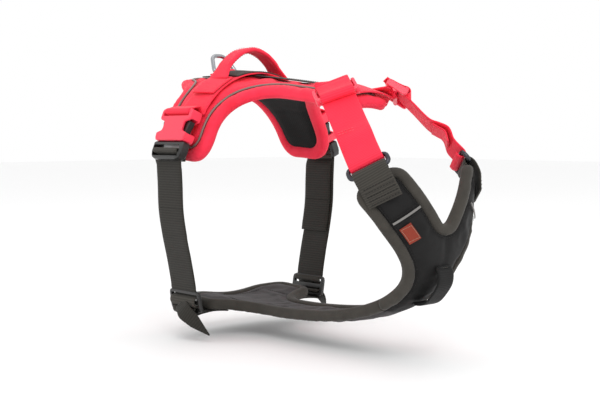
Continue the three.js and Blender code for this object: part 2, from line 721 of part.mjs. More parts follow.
const FOLD = [[-1.5, -2.8], [0, -2.6], [2.1, -1.6], [2.6, 0], [2.1, 1.6], [0, 2.6], [-3.6, 2.9]];

// The webbing end folded round a bar of the ring, from behind the bar to its outer side.
// Towards is 1 for the bar at the pad and -1 for the bar at the neck.
function foldRound(towards) {
  return FOLD.map(([u, t]) => {
    return vec(towards * (CHEST_RING.reach - u), 0, t).applyMatrix4(onChestRing);
  });
}

const ringAcross = vec(0, 1, 0).transformDirection(onChestRing);

const tapeHeight = LOWER_PAD.thick + SEWN_LIFT;
const TAB_LEAN = 22; // the tab follows the neck strap's pull, not the arm

function chestTab() {
  const lean = rad(TAB_LEAN);
  const sewn = [5, 13, 22].map((down) => {
    return onUnder(-ARM.s + down * Math.sin(lean), ARM.v - down * Math.cos(lean), tapeHeight + 0.4);
  });
  const path = [...foldRound(1), ...sewn];
  return ribbon(path, path.map(() => ringAcross), NECK_WEB.width, NECK_WEB.thick);
}

function reflectiveBar() {
  const path = evenly(12.5, -12.5, 4).map((w) => armAt(w, -40, tapeHeight));
  const across = armAt(0, -38, 0).sub(armAt(0, -42, 0));
  return ribbon(path, path.map(() => across), 3, 0.8);
}

function sideLabel() {
  const path = evenly(-46, -61, 3).map((beyond) => armAt(6, beyond, tapeHeight + 0.6));
  return ribbon(path, path.map(() => ringAcross), 11, 0.8);
}

addPair("chest_ring", chestRing, material("gunmetal", 0.35, 0.8));
addPair("chest_tab", chestTab, material("webbing"));
addPair("reflective_bar", reflectiveBar, material("reflective", 0.4));
addPiece("right_side_label", sideLabel(), material("label"), sides.right);

// ---------------------------------------------------------------- front leash loop
const LOOP = { top: 289, bottom: 256, rise: 8 };

function frontLoop() {
  const { top, bottom, rise } = LOOP;
  const base = LOWER_PAD.thick + 1.4;
  const profile = [[0, 0], [0.06, 0.55], [0.25, 0.95], [0.5, 1], [0.75, 0.95], [0.94, 0.55], [1, 0]];
  const path = profile.map(([t, h]) => onUnder(0, lerp(top, bottom, t), base + rise * h));
  return ribbon(path, path.map(() => vec(1, 0, 0)), 20, 1.8);
}

addPiece("front_loop", frontLoop(), material("webbing"));

// ---------------------------------------------------------------- neck straps and sliders
const neckEnd = vec(-15, 0, 3.1).applyMatrix4(onChestRing);
const neckDown = neckEnd.clone().sub(NECK_TOP).normalize();
const neckAcross = vec(0.71, -0.64, 0.31);
const onNeckSlider = frameOf(NECK_TOP, neckDown, neckAcross);

function neckStrap() {
  const length = neckEnd.distanceTo(NECK_TOP);
  const straight = evenly(-13, length, 9).map((u) => NECK_TOP.clone().addScaledVector(neckDown, u));
  const turn = straight.map((_, i) => smooth(i / 9, 0.5, 1));
  const sides = straight.map((_, i) => neckAcross.clone().lerp(ringAcross, turn[i]));
  const fold = foldRound(-1).reverse();
  const behind = vec(-18, 0, -2.2).applyMatrix4(onChestRing);
  const path = [...straight, ...fold, behind];
  return ribbon(path, [...sides, ...fold.map(() => ringAcross), ringAcross], NECK_WEB.width, NECK_WEB.thick);
}

const NECK_SLIDER = { length: 21, width: 38.4, bar: 2.2 };

// Two side rails, a lower bar before the strap, and a middle and an upper bar behind it.
function neckSlider() {
  const { length, width, bar } = NECK_SLIDER;
  const l = length / 2;
  const rail = (w) => plate([[-l, -5.6, 2.4], [l, -1, 2.4], [l, 6.4, 2.4], [-l, 0.4, 2.4]], -1.5, 1.5, 0.6)
    .rotateX(Math.PI / 2)
    .translate(0, w, 0);
  const across = (u, t) => new THREE.CylinderGeometry(bar, bar, width - 1, 8).translate(u, 0, t);
  const rails = [-1, 1].map((side) => rail(side * (width / 2 - 1.5)));
  const bars = [across(l - 3, 4.4), across(0, -2.7), across(-l + 2.6, -2.9)];
  return joined(...rails, ...bars).applyMatrix4(onNeckSlider);
}

// The strap's second layer, sewn round the slider's middle bar, which rides with the slider.
function sliderFold() {
  const r = NECK_SLIDER.bar + 0.3;
  const turn = evenly(-90, 30, 4).map((a) => [r * Math.cos(rad(a)), r * Math.sin(rad(a)) - 2.7]);
  const points = [[-5.5, -2.9 - r], ...turn].map(([u, t]) => vec(u, 0, t));
  return ribbon(points, points.map(() => vec(0, -1, 0)), NECK_WEB.width, 1).applyMatrix4(onNeckSlider);
}

addPair("slider_fold", sliderFold, material("coral"));
addPair("neck_strap", neckStrap, material("coral"));
addPair("neck_slider", neckSlider, material("coral", 0.4));

// The band across the yoke that both neck straps hang from.
const anchor = evenly(-25.5, 25.5, 8).map((s) => [s, -147]);
const anchorHeight = SADDLE.thick + 2 * PIPING + 3 * GAP;
addPiece("neck_anchor", stripOn(onBack, anchor, [0, 1], anchorHeight, NECK_WEB), material("coral"));

export default harness;
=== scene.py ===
"""The looks of a dog's no-pull harness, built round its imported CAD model.

Shapes are worked out in millimetres on two body forms, the dog's back and its underside, and
turned into metres when a mesh is made. The front of the dog is -Y, its left is +X, up is +Z.
"""

import math

import bmesh
import bpy
import numpy as np
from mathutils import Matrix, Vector, geometry, noise


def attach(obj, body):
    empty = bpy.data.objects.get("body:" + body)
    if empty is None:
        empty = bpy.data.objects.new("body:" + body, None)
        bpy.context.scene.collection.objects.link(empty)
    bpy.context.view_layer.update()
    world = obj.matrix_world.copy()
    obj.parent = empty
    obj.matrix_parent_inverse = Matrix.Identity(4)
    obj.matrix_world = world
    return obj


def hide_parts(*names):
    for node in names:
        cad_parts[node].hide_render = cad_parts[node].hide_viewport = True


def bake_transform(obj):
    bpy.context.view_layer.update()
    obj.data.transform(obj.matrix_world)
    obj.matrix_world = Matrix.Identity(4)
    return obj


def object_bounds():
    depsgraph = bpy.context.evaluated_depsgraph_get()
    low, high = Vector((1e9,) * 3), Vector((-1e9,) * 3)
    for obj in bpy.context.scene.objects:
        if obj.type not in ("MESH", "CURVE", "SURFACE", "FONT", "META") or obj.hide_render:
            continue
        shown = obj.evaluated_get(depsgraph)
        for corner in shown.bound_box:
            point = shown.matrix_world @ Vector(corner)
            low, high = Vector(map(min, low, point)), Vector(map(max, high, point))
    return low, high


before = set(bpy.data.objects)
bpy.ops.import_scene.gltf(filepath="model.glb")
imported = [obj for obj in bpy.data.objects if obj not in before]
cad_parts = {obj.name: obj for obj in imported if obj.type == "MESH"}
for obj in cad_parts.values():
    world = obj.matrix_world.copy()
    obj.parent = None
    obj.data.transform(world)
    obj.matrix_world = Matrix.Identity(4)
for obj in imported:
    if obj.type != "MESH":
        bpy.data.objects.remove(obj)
cad_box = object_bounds()

MM = 0.001
MIRROR = np.array([-1.0, 1.0, 1.0])
SIDES = {"right": 1, "left": -1}  # the right side is drawn, the left is its mirror image

# ------------------------------------------------------------------ driving dimensions, mm
GIRTH_WIDTH = 38
NECK_WIDTH = 30
WEB_THICK = 1.8
SADDLE_THICK = 12
SADDLE_RIM = 12
SADDLE_RADIUS = 72
PAD_THICK = 11
PAD_RIM = 9.5
PAD_HALF = 25
CHEST_RADIUS = 80
BELLY_RISE = 6
CROTCH_V = 317
SEAM_V = 235
SEAM_GAP = 0.6
KEEL = [
    [34, -206], [0, -208], [-50, -210], [-97, -209], [-140, -205], [-180, -196], [-208, -184],
    [-229, -166], [-240, -145], [-244, -120], [-245, -94], [-243, -68], [-238, -44],
]
BAND_HEIGHT = 14.1
BUCKLE_LEAN = math.radians(67.5)
BUCKLE_DROP = 56.5
INSERT_LENGTH = 18


# ------------------------------------------------------------------ small maths
def unit(v):
    v = np.asarray(v, float)
    return v / np.maximum(np.linalg.norm(v, axis=-1, keepdims=True), 1e-12)


def smoothstep(x, a, b):
    t = np.clip((np.asarray(x, float) - a) / (b - a), 0, 1)
    return t * t * (3 - 2 * t)


def mix(a, b, t):
    return a + (b - a) * t


def along_path(points, closed=False):
    """Unit directions along a path."""
    if closed:
        return unit(np.roll(points, -1, axis=0) - np.roll(points, 1, axis=0))
    return unit(np.gradient(points, axis=0))


def lengths(points):
    """Distance along a path at each of its points."""
    steps = np.linalg.norm(np.diff(points, axis=0), axis=1)
    return np.concatenate([[0], np.cumsum(steps)])


def curve_through(points, closed=False, dense=24):
    """A centripetal Catmull-Rom curve through points, as many close points."""
    p = np.asarray(points, float)
    if closed:
        p = np.vstack([p[-1], p, p[0], p[1]])
    else:
        p = np.vstack([2 * p[0] - p[1], p, 2 * p[-1] - p[-2]])
    out = []
    for p0, p1, p2, p3 in zip(p[:-3], p[1:-2], p[2:-1], p[3:]):
        pairs = ((p0, p1), (p1, p2), (p2, p3))
        d0, d1, d2 = (max(math.sqrt(np.linalg.norm(b - a)), 1e-4) for a, b in pairs)
        m1 = ((p1 - p0) / d0 - (p2 - p0) / (d0 + d1) + (p2 - p1) / d1) * d1
        m2 = ((p2 - p1) / d1 - (p3 - p1) / (d1 + d2) + (p3 - p2) / d2) * d1
        t = np.linspace(0, 1, dense, endpoint=False)[:, None]
        a = 2 * t**3 - 3 * t**2 + 1
        out.append(a * p1 + (t**3 - 2 * t**2 + t) * m1 + (1 - a) * p2 + (t**3 - t**2) * m2)
    if not closed:
        out.append(p[-2][None, :])
    return np.vstack(out)


def evened(points, step, closed=False):
    """The same path with points at an even spacing close to step."""
    if closed:
        points = np.vstack([points, points[0]])
    run = lengths(points)
    count = max(2, int(round(run[-1] / step)) + 1)
    at = np.linspace(0, run[-1], count)
    out = np.column_stack([np.interp(at, run, points[:, k]) for k in range(points.shape[1])])
    return out[:-1] if closed else out


def bumps(points, size, seed=0.0):
    """Soft noise between -1 and 1 with lumps of a given size."""
    shift = Vector((seed, seed * 0.7, -seed * 1.3))
    return np.array([noise.noise(Vector(p) / size + shift) for p in np.atleast_2d(points)])


def noisy(pattern, size, seed):
    """Soft noise at pattern points (s, v)."""
    return bumps(np.column_stack([pattern, np.zeros(len(pattern))]), size, seed)


def noisy_run(run, size, seed):
    return bumps(np.column_stack([run, 0 * run, 0 * run]), size, seed)


def straight(a, b, count):
    return np.linspace(a, b, count)


# ------------------------------------------------------------------ body forms
def back_line(y):
    forward = np.maximum(0, 10 - y)
    return -0.041 * forward**1.21 - 5 * smoothstep(-y, 135, 175)


def back(s, y):
    angle = s / SADDLE_RADIUS
    z = back_line(y) - SADDLE_RADIUS * (1 - np.cos(angle))
    return np.stack([SADDLE_RADIUS * np.sin(angle), y + 0 * s, z], axis=-1)


keel_points = curve_through(KEEL, dense=60)
keel_run = lengths(keel_points)
keel_along = along_path(keel_points)


def under(s, v):
    inside = np.clip(v, 0, keel_run[-1])
    y = np.interp(inside, keel_run, keel_points[:, 0])
    z = np.interp(inside, keel_run, keel_points[:, 1])
    ty = np.interp(inside, keel_run, keel_along[:, 0])
    tz = np.interp(inside, keel_run, keel_along[:, 1])
    y, z = y + (v - inside) * ty, z + (v - inside) * tz
    chest = smoothstep(v, 90, CROTCH_V - 50)
    angle = s / CHEST_RADIUS
    across = mix(s, CHEST_RADIUS * np.sin(angle), chest)
    belly = BELLY_RISE * np.sin(np.pi / 2 * np.minimum(np.abs(s) / 62, 1)) ** 2
    rise = mix(belly, CHEST_RADIUS * (1 - np.cos(angle)), chest)
    return np.stack([across, y + tz * rise, z - ty * rise], axis=-1)


def on(form, s, v, height=0.0):
    """The place at a height above a form's pattern point (s across the dog, v along it)."""
    s, v = np.broadcast_arrays(np.asarray(s, float), np.asarray(v, float))
    across = form(s + 0.5, v) - form(s - 0.5, v)
    along = form(s, v + 0.5) - form(s, v - 0.5)
    normal = unit(np.cross(across, along))
    return form(s, v) + normal * np.asarray(height, float)[..., None]


def above(form, pattern, height):
    """A row of pattern points (s, v) raised to a height."""
    return on(form, pattern[:, 0], pattern[:, 1], height + 0 * pattern[:, 0])


def raised(height, lift):
    return lambda flat, edge: height(flat, edge) + lift


def level(height):
    """A pad layer's flat face, as a height function."""
    return lambda flat, edge: 0 * edge + height


# ------------------------------------------------------------------ pattern outlines
def rounded(corners, arc_steps=9):
    """An outline from (s, v, radius) corners."""
    points = []
    for i, (s, v, radius) in enumerate(corners):
        corner = np.array([s, v], float)
        if radius == 0:
            points.append(corner)
            continue
        before = unit(np.array(corners[i - 1][:2]) - corner)
        after = unit(np.array(corners[(i + 1) % len(corners)][:2]) - corner)
        half = math.acos(np.clip(before @ after, -1, 1)) / 2
        middle = corner + unit(before + after) * radius / math.sin(half)
        a = corner + before * radius / math.tan(half) - middle
        b = corner + after * radius / math.tan(half) - middle
        turn = math.atan2(a[0] * b[1] - a[1] * b[0], a @ b)
        for k in range(arc_steps + 1):
            c, n = math.cos(turn * k / arc_steps), math.sin(turn * k / arc_steps)
            points.append(middle + np.array([a[0] * c - a[1] * n, a[0] * n + a[1] * c]))
    return np.array(points)


def mirrored(half):
    return half + [[-s, v, r] for s, v, r in reversed(half) if s != 0]


def inward(points, closed=True):
    """Mitred inward directions at an outline's points."""
    ahead = np.roll(points, -1, axis=0)
    area = np.sum(points[:, 0] * ahead[:, 1] - points[:, 1] * ahead[:, 0])
    edge = unit(ahead - points)
    normal = np.column_stack([-edge[:, 1], edge[:, 0]]) * math.copysign(1, area)
    before = np.roll(normal, 1, axis=0)
    if not closed:
        normal[-1] = before[-1]
        before[0] = normal[0]
    dot = np.sum(before * normal, axis=1, keepdims=True)
    return (before + normal) / np.maximum(1 + dot, 0.3)


def inset(points, distance, closed=True):
    return points + inward(points, closed) * distance


def distance_to(points, outline):
    """Distance of each point to an outline."""
    a, b = outline, np.roll(outline, -1, axis=0)
    span = b - a
    best = np.full(len(points), 1e9)
    for start, d in zip(a, span):
        t = np.clip((points - start) @ d / max(d @ d, 1e-12), 0, 1)
        best = np.minimum(best, np.linalg.norm(points - start - t[:, None] * d, axis=1))
    return best


def inside_of(points, outline):
    inside = np.zeros(len(points), bool)
    for a, b in zip(outline, np.roll(outline, -1, axis=0)):
        crosses = (a[1] > points[:, 1]) != (b[1] > points[:, 1])
        if crosses.any():
            x = a[0] + (points[:, 1] - a[1]) * (b[0] - a[0]) / (b[1] - a[1] + 1e-12)
            inside ^= crosses & (points[:, 0] < x)
    return inside


def triangulated(outline, spacing):
    """(points, triangles, border pairs) of an outline filled with an even grid of triangles."""
    low, high = outline.min(axis=0), outline.max(axis=0)
    rows = np.arange(low[1], high[1], spacing * 0.87)
    grid = np.array([
        [s, v]
        for k, v in enumerate(rows)
        for s in np.arange(low[0] + (k % 2) * spacing / 2, high[0], spacing)
    ])
    keep = inside_of(grid, outline)
    grid = grid[keep]
    grid = grid[distance_to(grid, outline) > spacing * 0.6]
    points = np.vstack([outline, grid])
    n = len(outline)
    ring = list(range(n))
    result = geometry.delaunay_2d_cdt([Vector(p) for p in points], [], [ring], 1, 1e-5)
    flat = np.array([[p.x, p.y] for p in result[0]])
    triangles = [list(f) for f in result[2]]
    count = {}
    for f in triangles:
        for a, b in zip(f, f[1:] + f[:1]):
            key = (min(a, b), max(a, b))
            count.setdefault(key, []).append((a, b))
    border = [pairs[0] for pairs in count.values() if len(pairs) == 1]
    return flat, triangles, border


# ------------------------------------------------------------------ making pieces
def make_piece(name, points, faces, material, body="harness", uv=None, stands_for=(), slot=None):
    """A closed mesh in millimetres as a piece that rides on a body."""
    mesh = bpy.data.meshes.new(name)
    mesh.from_pydata((np.asarray(points) * MM).tolist(), [], [list(map(int, f)) for f in faces])
    if uv is not None:
        layer = mesh.uv_layers.new(name="cloth")
        index = np.empty(len(mesh.loops), int)
        mesh.loops.foreach_get("vertex_index", index)
        layer.data.foreach_set("uv", (np.asarray(uv)[index] * MM).ravel())
    shape = bmesh.new()
    shape.from_mesh(mesh)
    bmesh.ops.recalc_face_normals(shape, faces=shape.faces)
    shape.to_mesh(mesh)
    shape.free()
    for polygon in mesh.polygons:
        polygon.use_smooth = True
    mesh.materials.append(material)
    piece = bpy.data.objects.new(name, mesh)
    bpy.context.scene.collection.objects.link(piece)
    if body:
        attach(piece, body)
    if stands_for:
        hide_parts(*stands_for)
    return piece


def subdivide(piece, levels=1):
    modifier = piece.modifiers.new("smooth", "SUBSURF")
    modifier.levels = modifier.render_levels = levels


def tube_faces(n, m, closed):
    """The faces round n rings of m points each, with end caps on an open tube."""
    faces = []
    for i in range(n if closed else n - 1):
        j = (i + 1) % n
        for k in range(m):
            l = (k + 1) % m
            faces.append([i * m + k, i * m + l, j * m + l, j * m + k])
    if not closed:
        faces += [list(range(m)), list(range((n - 1) * m, n * m))]
    return faces


def strap_uv(section, run):
    """Cloth coordinates of a strap: across it and along it."""
    down = np.broadcast_to(run[:, None], section.shape[:2])
    return np.stack([section[..., 0], down], axis=-1).reshape(-1, 2)


def sweep(path, sides, section, closed=False):
    """(points, faces, uv) of a section of (across, out) pairs carried along a path.

    section is (m, 2), or (n, m, 2) with one section for each point of the path."""
    path = np.asarray(path, float)
    along = along_path(path, closed)
    sides = np.broadcast_to(np.asarray(sides, float), path.shape)
    side = unit(sides - along * np.sum(sides * along, axis=1, keepdims=True))
    out = np.cross(along, side)
    section = np.asarray(section, float)
    if section.ndim == 2:
        section = np.broadcast_to(section, (len(path),) + section.shape)
    n, m = section.shape[:2]
    rings = path[:, None] + side[:, None] * section[..., :1] + out[:, None] * section[..., 1:]
    run = lengths(path)
    around = np.concatenate([[0], np.cumsum(np.linalg.norm(np.diff(section[0], axis=0), axis=1))])
    uv = np.stack(np.broadcast_arrays(around[None, :], run[:, None]), axis=-1).reshape(-1, 2)
    return rings.reshape(-1, 3), tube_faces(n, m, closed), uv


def web_section(width, thick, run, ribs=0.0, pitch=2.4, columns=12, waist=None):
    """Webbing's section at each distance along it, with crosswise ribs and rounded edges."""
    x = np.linspace(-1, 1, columns)
    x = np.sign(x) * (1 - (1 - np.abs(x)) ** 1.4)
    edge = np.sqrt(np.clip(1 - np.abs(x) ** 10, 0, 1))
    wide = np.full(len(run), width / 2.0) if waist is None else np.asarray(waist) / 2.0
    rib = ribs * np.cos(2 * np.pi * run / pitch)
    top = thick / 2 * (1 + 0.55 * (edge - 1))[None, :] + rib[:, None] * edge[None, :]
    across = wide[:, None] * x[None, :]
    upper = np.stack([across, thick / 2 + top], axis=-1)
    lower = np.stack([across, thick / 2 - top], axis=-1)[:, ::-1]
    return np.concatenate([upper, lower], axis=1)


def webbing(name, path, sides, width, material, thick=WEB_THICK, ribs=0.14, pitch=2.4, step=0.8,
            body="harness", stands_for=(), slot="dark_webbing", widths=None, smooth=True):
    """A strap along a path; sides are its crosswise directions at the path's points."""
    path = np.asarray(path, float)
    sides = np.broadcast_to(np.asarray(sides, float), path.shape)
    both = np.hstack([path, sides])
    if smooth:
        both = curve_through(both)
    run = lengths(both[:, :3])
    count = max(3, int(run[-1] / step))
    at = np.linspace(0, run[-1], count)
    both = np.column_stack([np.interp(at, run, both[:, k]) for k in range(6)])
    waist = None if widths is None else np.interp(at / run[-1], *zip(*widths))
    section = web_section(width, thick, at, ribs, pitch, waist=waist)
    points, faces, _ = sweep(both[:, :3], both[:, 3:], section)
    return make_piece(name, points, faces, material, body, strap_uv(section, at), stands_for, slot)


def strip_on(name, form, pattern, across, height, width, material, lift=None, **options):
    """Webbing or tape laid on a form along pattern points (s, v)."""
    pattern = np.asarray(pattern, float)
    up = height + (0 if lift is None else np.asarray(lift, float))
    path = on(form, pattern[:, 0], pattern[:, 1], np.broadcast_to(up, len(pattern)))
    beside = pattern + np.asarray(across, float)
    sides = on(form, beside[:, 0], beside[:, 1], np.broadcast_to(up, len(pattern))) - path
    return webbing(name, path, sides, width, material, **options)


def round_section(radius, sides=10):
    angle = np.arange(sides) * 2 * np.pi / sides
    return np.column_stack([radius * np.cos(angle), radius * np.sin(angle)])


def wire(name, path, across, radius, material, body="harness", closed=True, sides=12, **options):
    """A round bar along a path; across is a direction never parallel to it."""
    points, faces, uv = sweep(path, across, round_section(radius, sides), closed)
    return make_piece(name, points, faces, material, body, uv, **options)


def point_at(path, run, distance):
    return np.array([np.interp(distance, run, path[:, k]) for k in range(3)])


def stitches(name, paths, material, body="harness", pitch=3.0, length=2.1, radius=0.28, slot=None):
    """Rows of sewn thread: a small rounded dash for each stitch along each path."""
    rings = [(-0.5, 0.25), (-0.36, 1.0), (0.36, 1.0), (0.5, 0.25)]
    around = 5
    points, faces = [], []
    for path in paths:
        path = np.asarray(path, float)
        run = lengths(path)
        for middle in np.arange(pitch / 2, run[-1], pitch):
            centre = point_at(path, run, middle)
            ahead = point_at(path, run, min(middle + 1, run[-1]))
            behind = point_at(path, run, max(middle - 1, 0))
            along = unit(ahead - behind)
            side = unit(np.cross(along, [0.3, 0.2, 0.93]))
            up = np.cross(side, along)
            base = len(points)
            for t, r in rings:
                for k in range(around):
                    a = 2 * math.pi * k / around
                    out = side * math.cos(a) + up * math.sin(a)
                    points.append(centre + along * t * length + radius * r * out)
            for i in range(len(rings) - 1):
                for k in range(around):
                    l = (k + 1) % around
                    row, nxt = base + i * around, base + (i + 1) * around
                    faces.append([row + k, row + l, nxt + l, nxt + k])
            faces.append([base + k for k in range(around)])
            faces.append([base + (len(rings) - 1) * around + k for k in range(around)])
    return make_piece(name, np.array(points), faces, material, body, slot=slot)


# ------------------------------------------------------------------ padded panels
def relaxed(points, triangles, pinned, pressure, slack, cap):
    """The cover after a short cloth simulation: pinned at its seam and filled from below."""
    mesh = bpy.data.meshes.new("cover_sim")
    mesh.from_pydata((points * MM).tolist(), [], triangles)
    cover = bpy.data.objects.new("cover_sim", mesh)
    bpy.context.scene.collection.objects.link(cover)
    group = cover.vertex_groups.new(name="seam")
    group.add([int(i) for i in pinned], 1.0, "REPLACE")
    cloth = cover.modifiers.new("cloth", "CLOTH")
    settings = cloth.settings
    settings.quality = 6
    settings.mass = 0.15
    settings.vertex_group_mass = "seam"
    settings.tension_stiffness = settings.compression_stiffness = 12
    settings.bending_stiffness = 0.4
    settings.shrink_min = -slack
    settings.use_pressure = True
    settings.uniform_pressure_force = pressure
    settings.effector_weights.gravity = 0
    cloth.point_cache.frame_start, cloth.point_cache.frame_end = 1, 16
    scene = bpy.context.scene
    for number in range(1, 17):
        scene.frame_set(number)
    result = cover.evaluated_get(bpy.context.evaluated_depsgraph_get()).to_mesh()
    moved = np.empty(len(points) * 3)
    result.vertices.foreach_get("co", moved)
    moved = moved.reshape(-1, 3) / MM - points
    bpy.data.objects.remove(cover)
    scene.frame_set(1)
    size = np.linalg.norm(moved, axis=1, keepdims=True)
    return points + moved * np.minimum(1, cap / np.maximum(size, 1e-9))


def pad_layer(name, form, outline, material, low, high, spacing=4.0, puff=None, **options):
    """A closed layer of a pad between two height functions of (pattern points, edge distance).

    puff is (which face, pressure, slack, cap) for a face that the cloth simulation fills."""
    flat, triangles, border = triangulated(outline, spacing)
    edge = distance_to(flat, outline)
    n = len(flat)
    lower = on(form, flat[:, 0], flat[:, 1], low(flat, edge))
    upper = on(form, flat[:, 0], flat[:, 1], high(flat, edge))
    pinned = np.where(edge < 0.5)[0]
    if puff:
        face, pressure, slack, cap = puff
        turned = [f[::-1] for f in triangles]
        if face == "upper":
            cover = facing(upper, triangles, upper - lower)
            upper = relaxed(upper, cover, pinned, pressure, slack, cap)
        else:
            cover = facing(lower, turned, lower - upper)
            lower = relaxed(lower, cover, pinned, pressure, slack, cap)
    faces = [f for f in triangles] + [[n + k for k in f] for f in triangles]
    faces += [[a, b, n + b, n + a] for a, b in border]
    uv = np.vstack([flat, flat])
    return make_piece(name, np.vstack([lower, upper]), faces, material, uv=uv, **options)


def facing(points, triangles, out):
    """The triangles turned so that their normals point the way out does."""
    a, b, c = (points[[t[k] for t in triangles]] for k in range(3))
    normal = np.cross(b - a, c - a)
    ahead = np.sum(normal * out[[t[0] for t in triangles]], axis=1) > 0
    return [list(t) if good else list(t[::-1]) for t, good in zip(triangles, ahead)]


def rolled_rim(name, form, outline, width, thick, material, closed=True, pucker=0.3, seed=1.0,
               **options):
    """A stuffed binding rolled round a pad's edge, with small puckers where it is pulled in."""
    path = evened(outline, 2.6, closed)
    normals = inward(path, closed)
    angle = np.linspace(0, 2 * np.pi, 16, endpoint=False)
    d = 0.5 - 0.5 * np.sign(np.cos(angle)) * np.abs(np.cos(angle)) ** 0.8
    h = 0.5 + 0.5 * np.sign(np.sin(angle)) * np.abs(np.sin(angle)) ** 0.72
    h = np.where(h > 0.5, h, 0.06 + 0.88 * h)
    run = np.concatenate([[0], np.cumsum(np.linalg.norm(np.diff(path, axis=0), axis=1))])
    wave = noisy(path, 7.0, seed)
    fine = noisy(path, 2.9, seed + 3)
    fade = 1 if closed else smoothstep(np.minimum(run, run[-1] - run), 0, 8)
    bulge = 1 + fade * (pucker * 0.16 * wave + pucker * 0.11 * fine)
    rings = []
    for k in range(len(angle)):
        at = path + normals * (d[k] * width)
        height = thick * (0.5 + (h[k] - 0.5) * (bulge if h[k] > 0.5 else 1))
        rings.append(on(form, at[:, 0], at[:, 1], np.broadcast_to(height, len(path))))
    rings = np.stack(rings, axis=1)
    n, m = rings.shape[:2]
    faces = tube_faces(n, m, closed)
    around = np.linspace(0, 2.6 * width, m)
    uv = np.stack(np.broadcast_arrays(around[None, :], run[:, None]), axis=-1).reshape(-1, 2)
    return make_piece(name, rings.reshape(-1, 3), faces, material, uv=uv, **options)


# ------------------------------------------------------------------ materials
SHEEN = 0.25
CLOTH_SPECULAR = 0.2


class Nodes:
    """A small helper for building one material's nodes."""

    def __init__(self, name, colour, roughness, metallic=0.0, sheen=0.0, coat=0.0):
        self.material = bpy.data.materials.new(name)
        self.material.use_nodes = True
        self.tree = self.material.node_tree
        self.shader = self.tree.nodes["Principled BSDF"]
        self.set("Base Color", (*colour, 1))
        self.set("Roughness", roughness)
        self.set("Metallic", metallic)
        self.set("Sheen Weight", sheen * SHEEN)
        self.set("Sheen Roughness", 0.45)
        self.set("Coat Weight", coat)
        self.set("Coat Roughness", 0.12)
        self.colour = colour
        self.material.diffuse_color = (*colour, 1)

    def set(self, socket, value):
        self.shader.inputs[socket].default_value = value

    def add(self, kind, **values):
        node = self.tree.nodes.new(kind)
        for key, value in values.items():
            if hasattr(node, key):
                setattr(node, key, value)
            else:
                node.inputs[key.replace("_", " ")].default_value = value
        return node

    def link(self, a, b):
        self.tree.links.new(a, b)

    def cloth_place(self):
        return self.add("ShaderNodeUVMap", uv_map="cloth").outputs["UV"]

    def object_place(self):
        return self.add("ShaderNodeTexCoord").outputs["Object"]

    def maths(self, operation, a, b):
        node = self.add("ShaderNodeMath", operation=operation)
        for socket, value in zip(node.inputs, (a, b)):
            if isinstance(value, (int, float)):
                socket.default_value = value
            else:
                self.link(value, socket)
        return node.outputs[0]

    def bands(self, place, direction, per_metre):
        node = self.add("ShaderNodeTexWave", wave_type="BANDS", bands_direction=direction)
        node.inputs["Scale"].default_value = per_metre / 3.1831
        node.inputs["Distortion"].default_value = 0.0
        self.link(place, node.inputs["Vector"])
        return node.outputs["Fac"]

    def noise(self, place, scale, detail=2.0, roughness=0.5):
        node = self.add("ShaderNodeTexNoise")
        node.inputs["Scale"].default_value = scale
        node.inputs["Detail"].default_value = detail
        node.inputs["Roughness"].default_value = roughness
        self.link(place, node.inputs["Vector"])
        return node.outputs["Fac"]

    def between(self, value, low, high, to_low=0.0, to_high=1.0):
        node = self.add("ShaderNodeMapRange")
        self.link(value, node.inputs["Value"])
        limits = {"From Min": low, "From Max": high, "To Min": to_low, "To Max": to_high}
        for key, number in limits.items():
            node.inputs[key].default_value = number
        return node.outputs["Result"]

    def tint(self, factor, dark, light):
        """Base colour from a dark to a light multiple of the colour by a factor."""
        node = self.add("ShaderNodeMix", data_type="RGBA")
        self.link(factor, node.inputs[0])
        for socket, gain in ((6, dark), (7, light)):
            gains = gain if isinstance(gain, tuple) else (gain, gain, gain)
            scaled = [min(1, c * g) for c, g in zip(self.colour, gains)]
            node.inputs[socket].default_value = (*scaled, 1)
        self.link(node.outputs[2], self.shader.inputs["Base Color"])

    def rough(self, factor, low, high):
        self.link(self.between(factor, 0.3, 0.7, low, high), self.shader.inputs["Roughness"])

    def bump(self, height, strength, distance):
        node = self.add("ShaderNodeBump")
        node.inputs["Strength"].default_value = strength
        node.inputs["Distance"].default_value = distance
        self.link(height, node.inputs["Height"])
        self.link(node.outputs["Normal"], self.shader.inputs["Normal"])


def woven(name, colour, rib_pitch_mm=1.2, yarn_mm=0.6, roughness=0.75, sheen=0.25, depth=0.00025,
          dark=0.6):
    """Woven cloth or webbing: crosswise ribs, lengthwise yarns, soft wear and uneven dye."""
    n = Nodes(name, colour, roughness, sheen=sheen)
    n.set("Specular IOR Level", CLOTH_SPECULAR)
    place = n.cloth_place()
    ribs = n.bands(place, "Y", 1000 / rib_pitch_mm)
    yarns = n.bands(place, "X", 1000 / yarn_mm)
    weave = n.maths("MULTIPLY", ribs, n.maths("ADD", n.maths("MULTIPLY", yarns, 0.45), 0.55))
    large = n.noise(n.object_place(), 26, 3)
    fine = n.noise(n.object_place(), 900, 2)
    mixed = n.maths("ADD", n.maths("MULTIPLY", weave, 0.5), n.maths("MULTIPLY", large, 0.5))
    mixed = n.maths("ADD", n.maths("MULTIPLY", mixed, 0.85), n.maths("MULTIPLY", fine, 0.15))
    n.tint(n.between(mixed, 0.15, 0.75), dark, 1.12)
    n.rough(large, roughness - 0.08, min(1, roughness + 0.1))
    n.bump(weave, 0.6, depth)
    return n.material


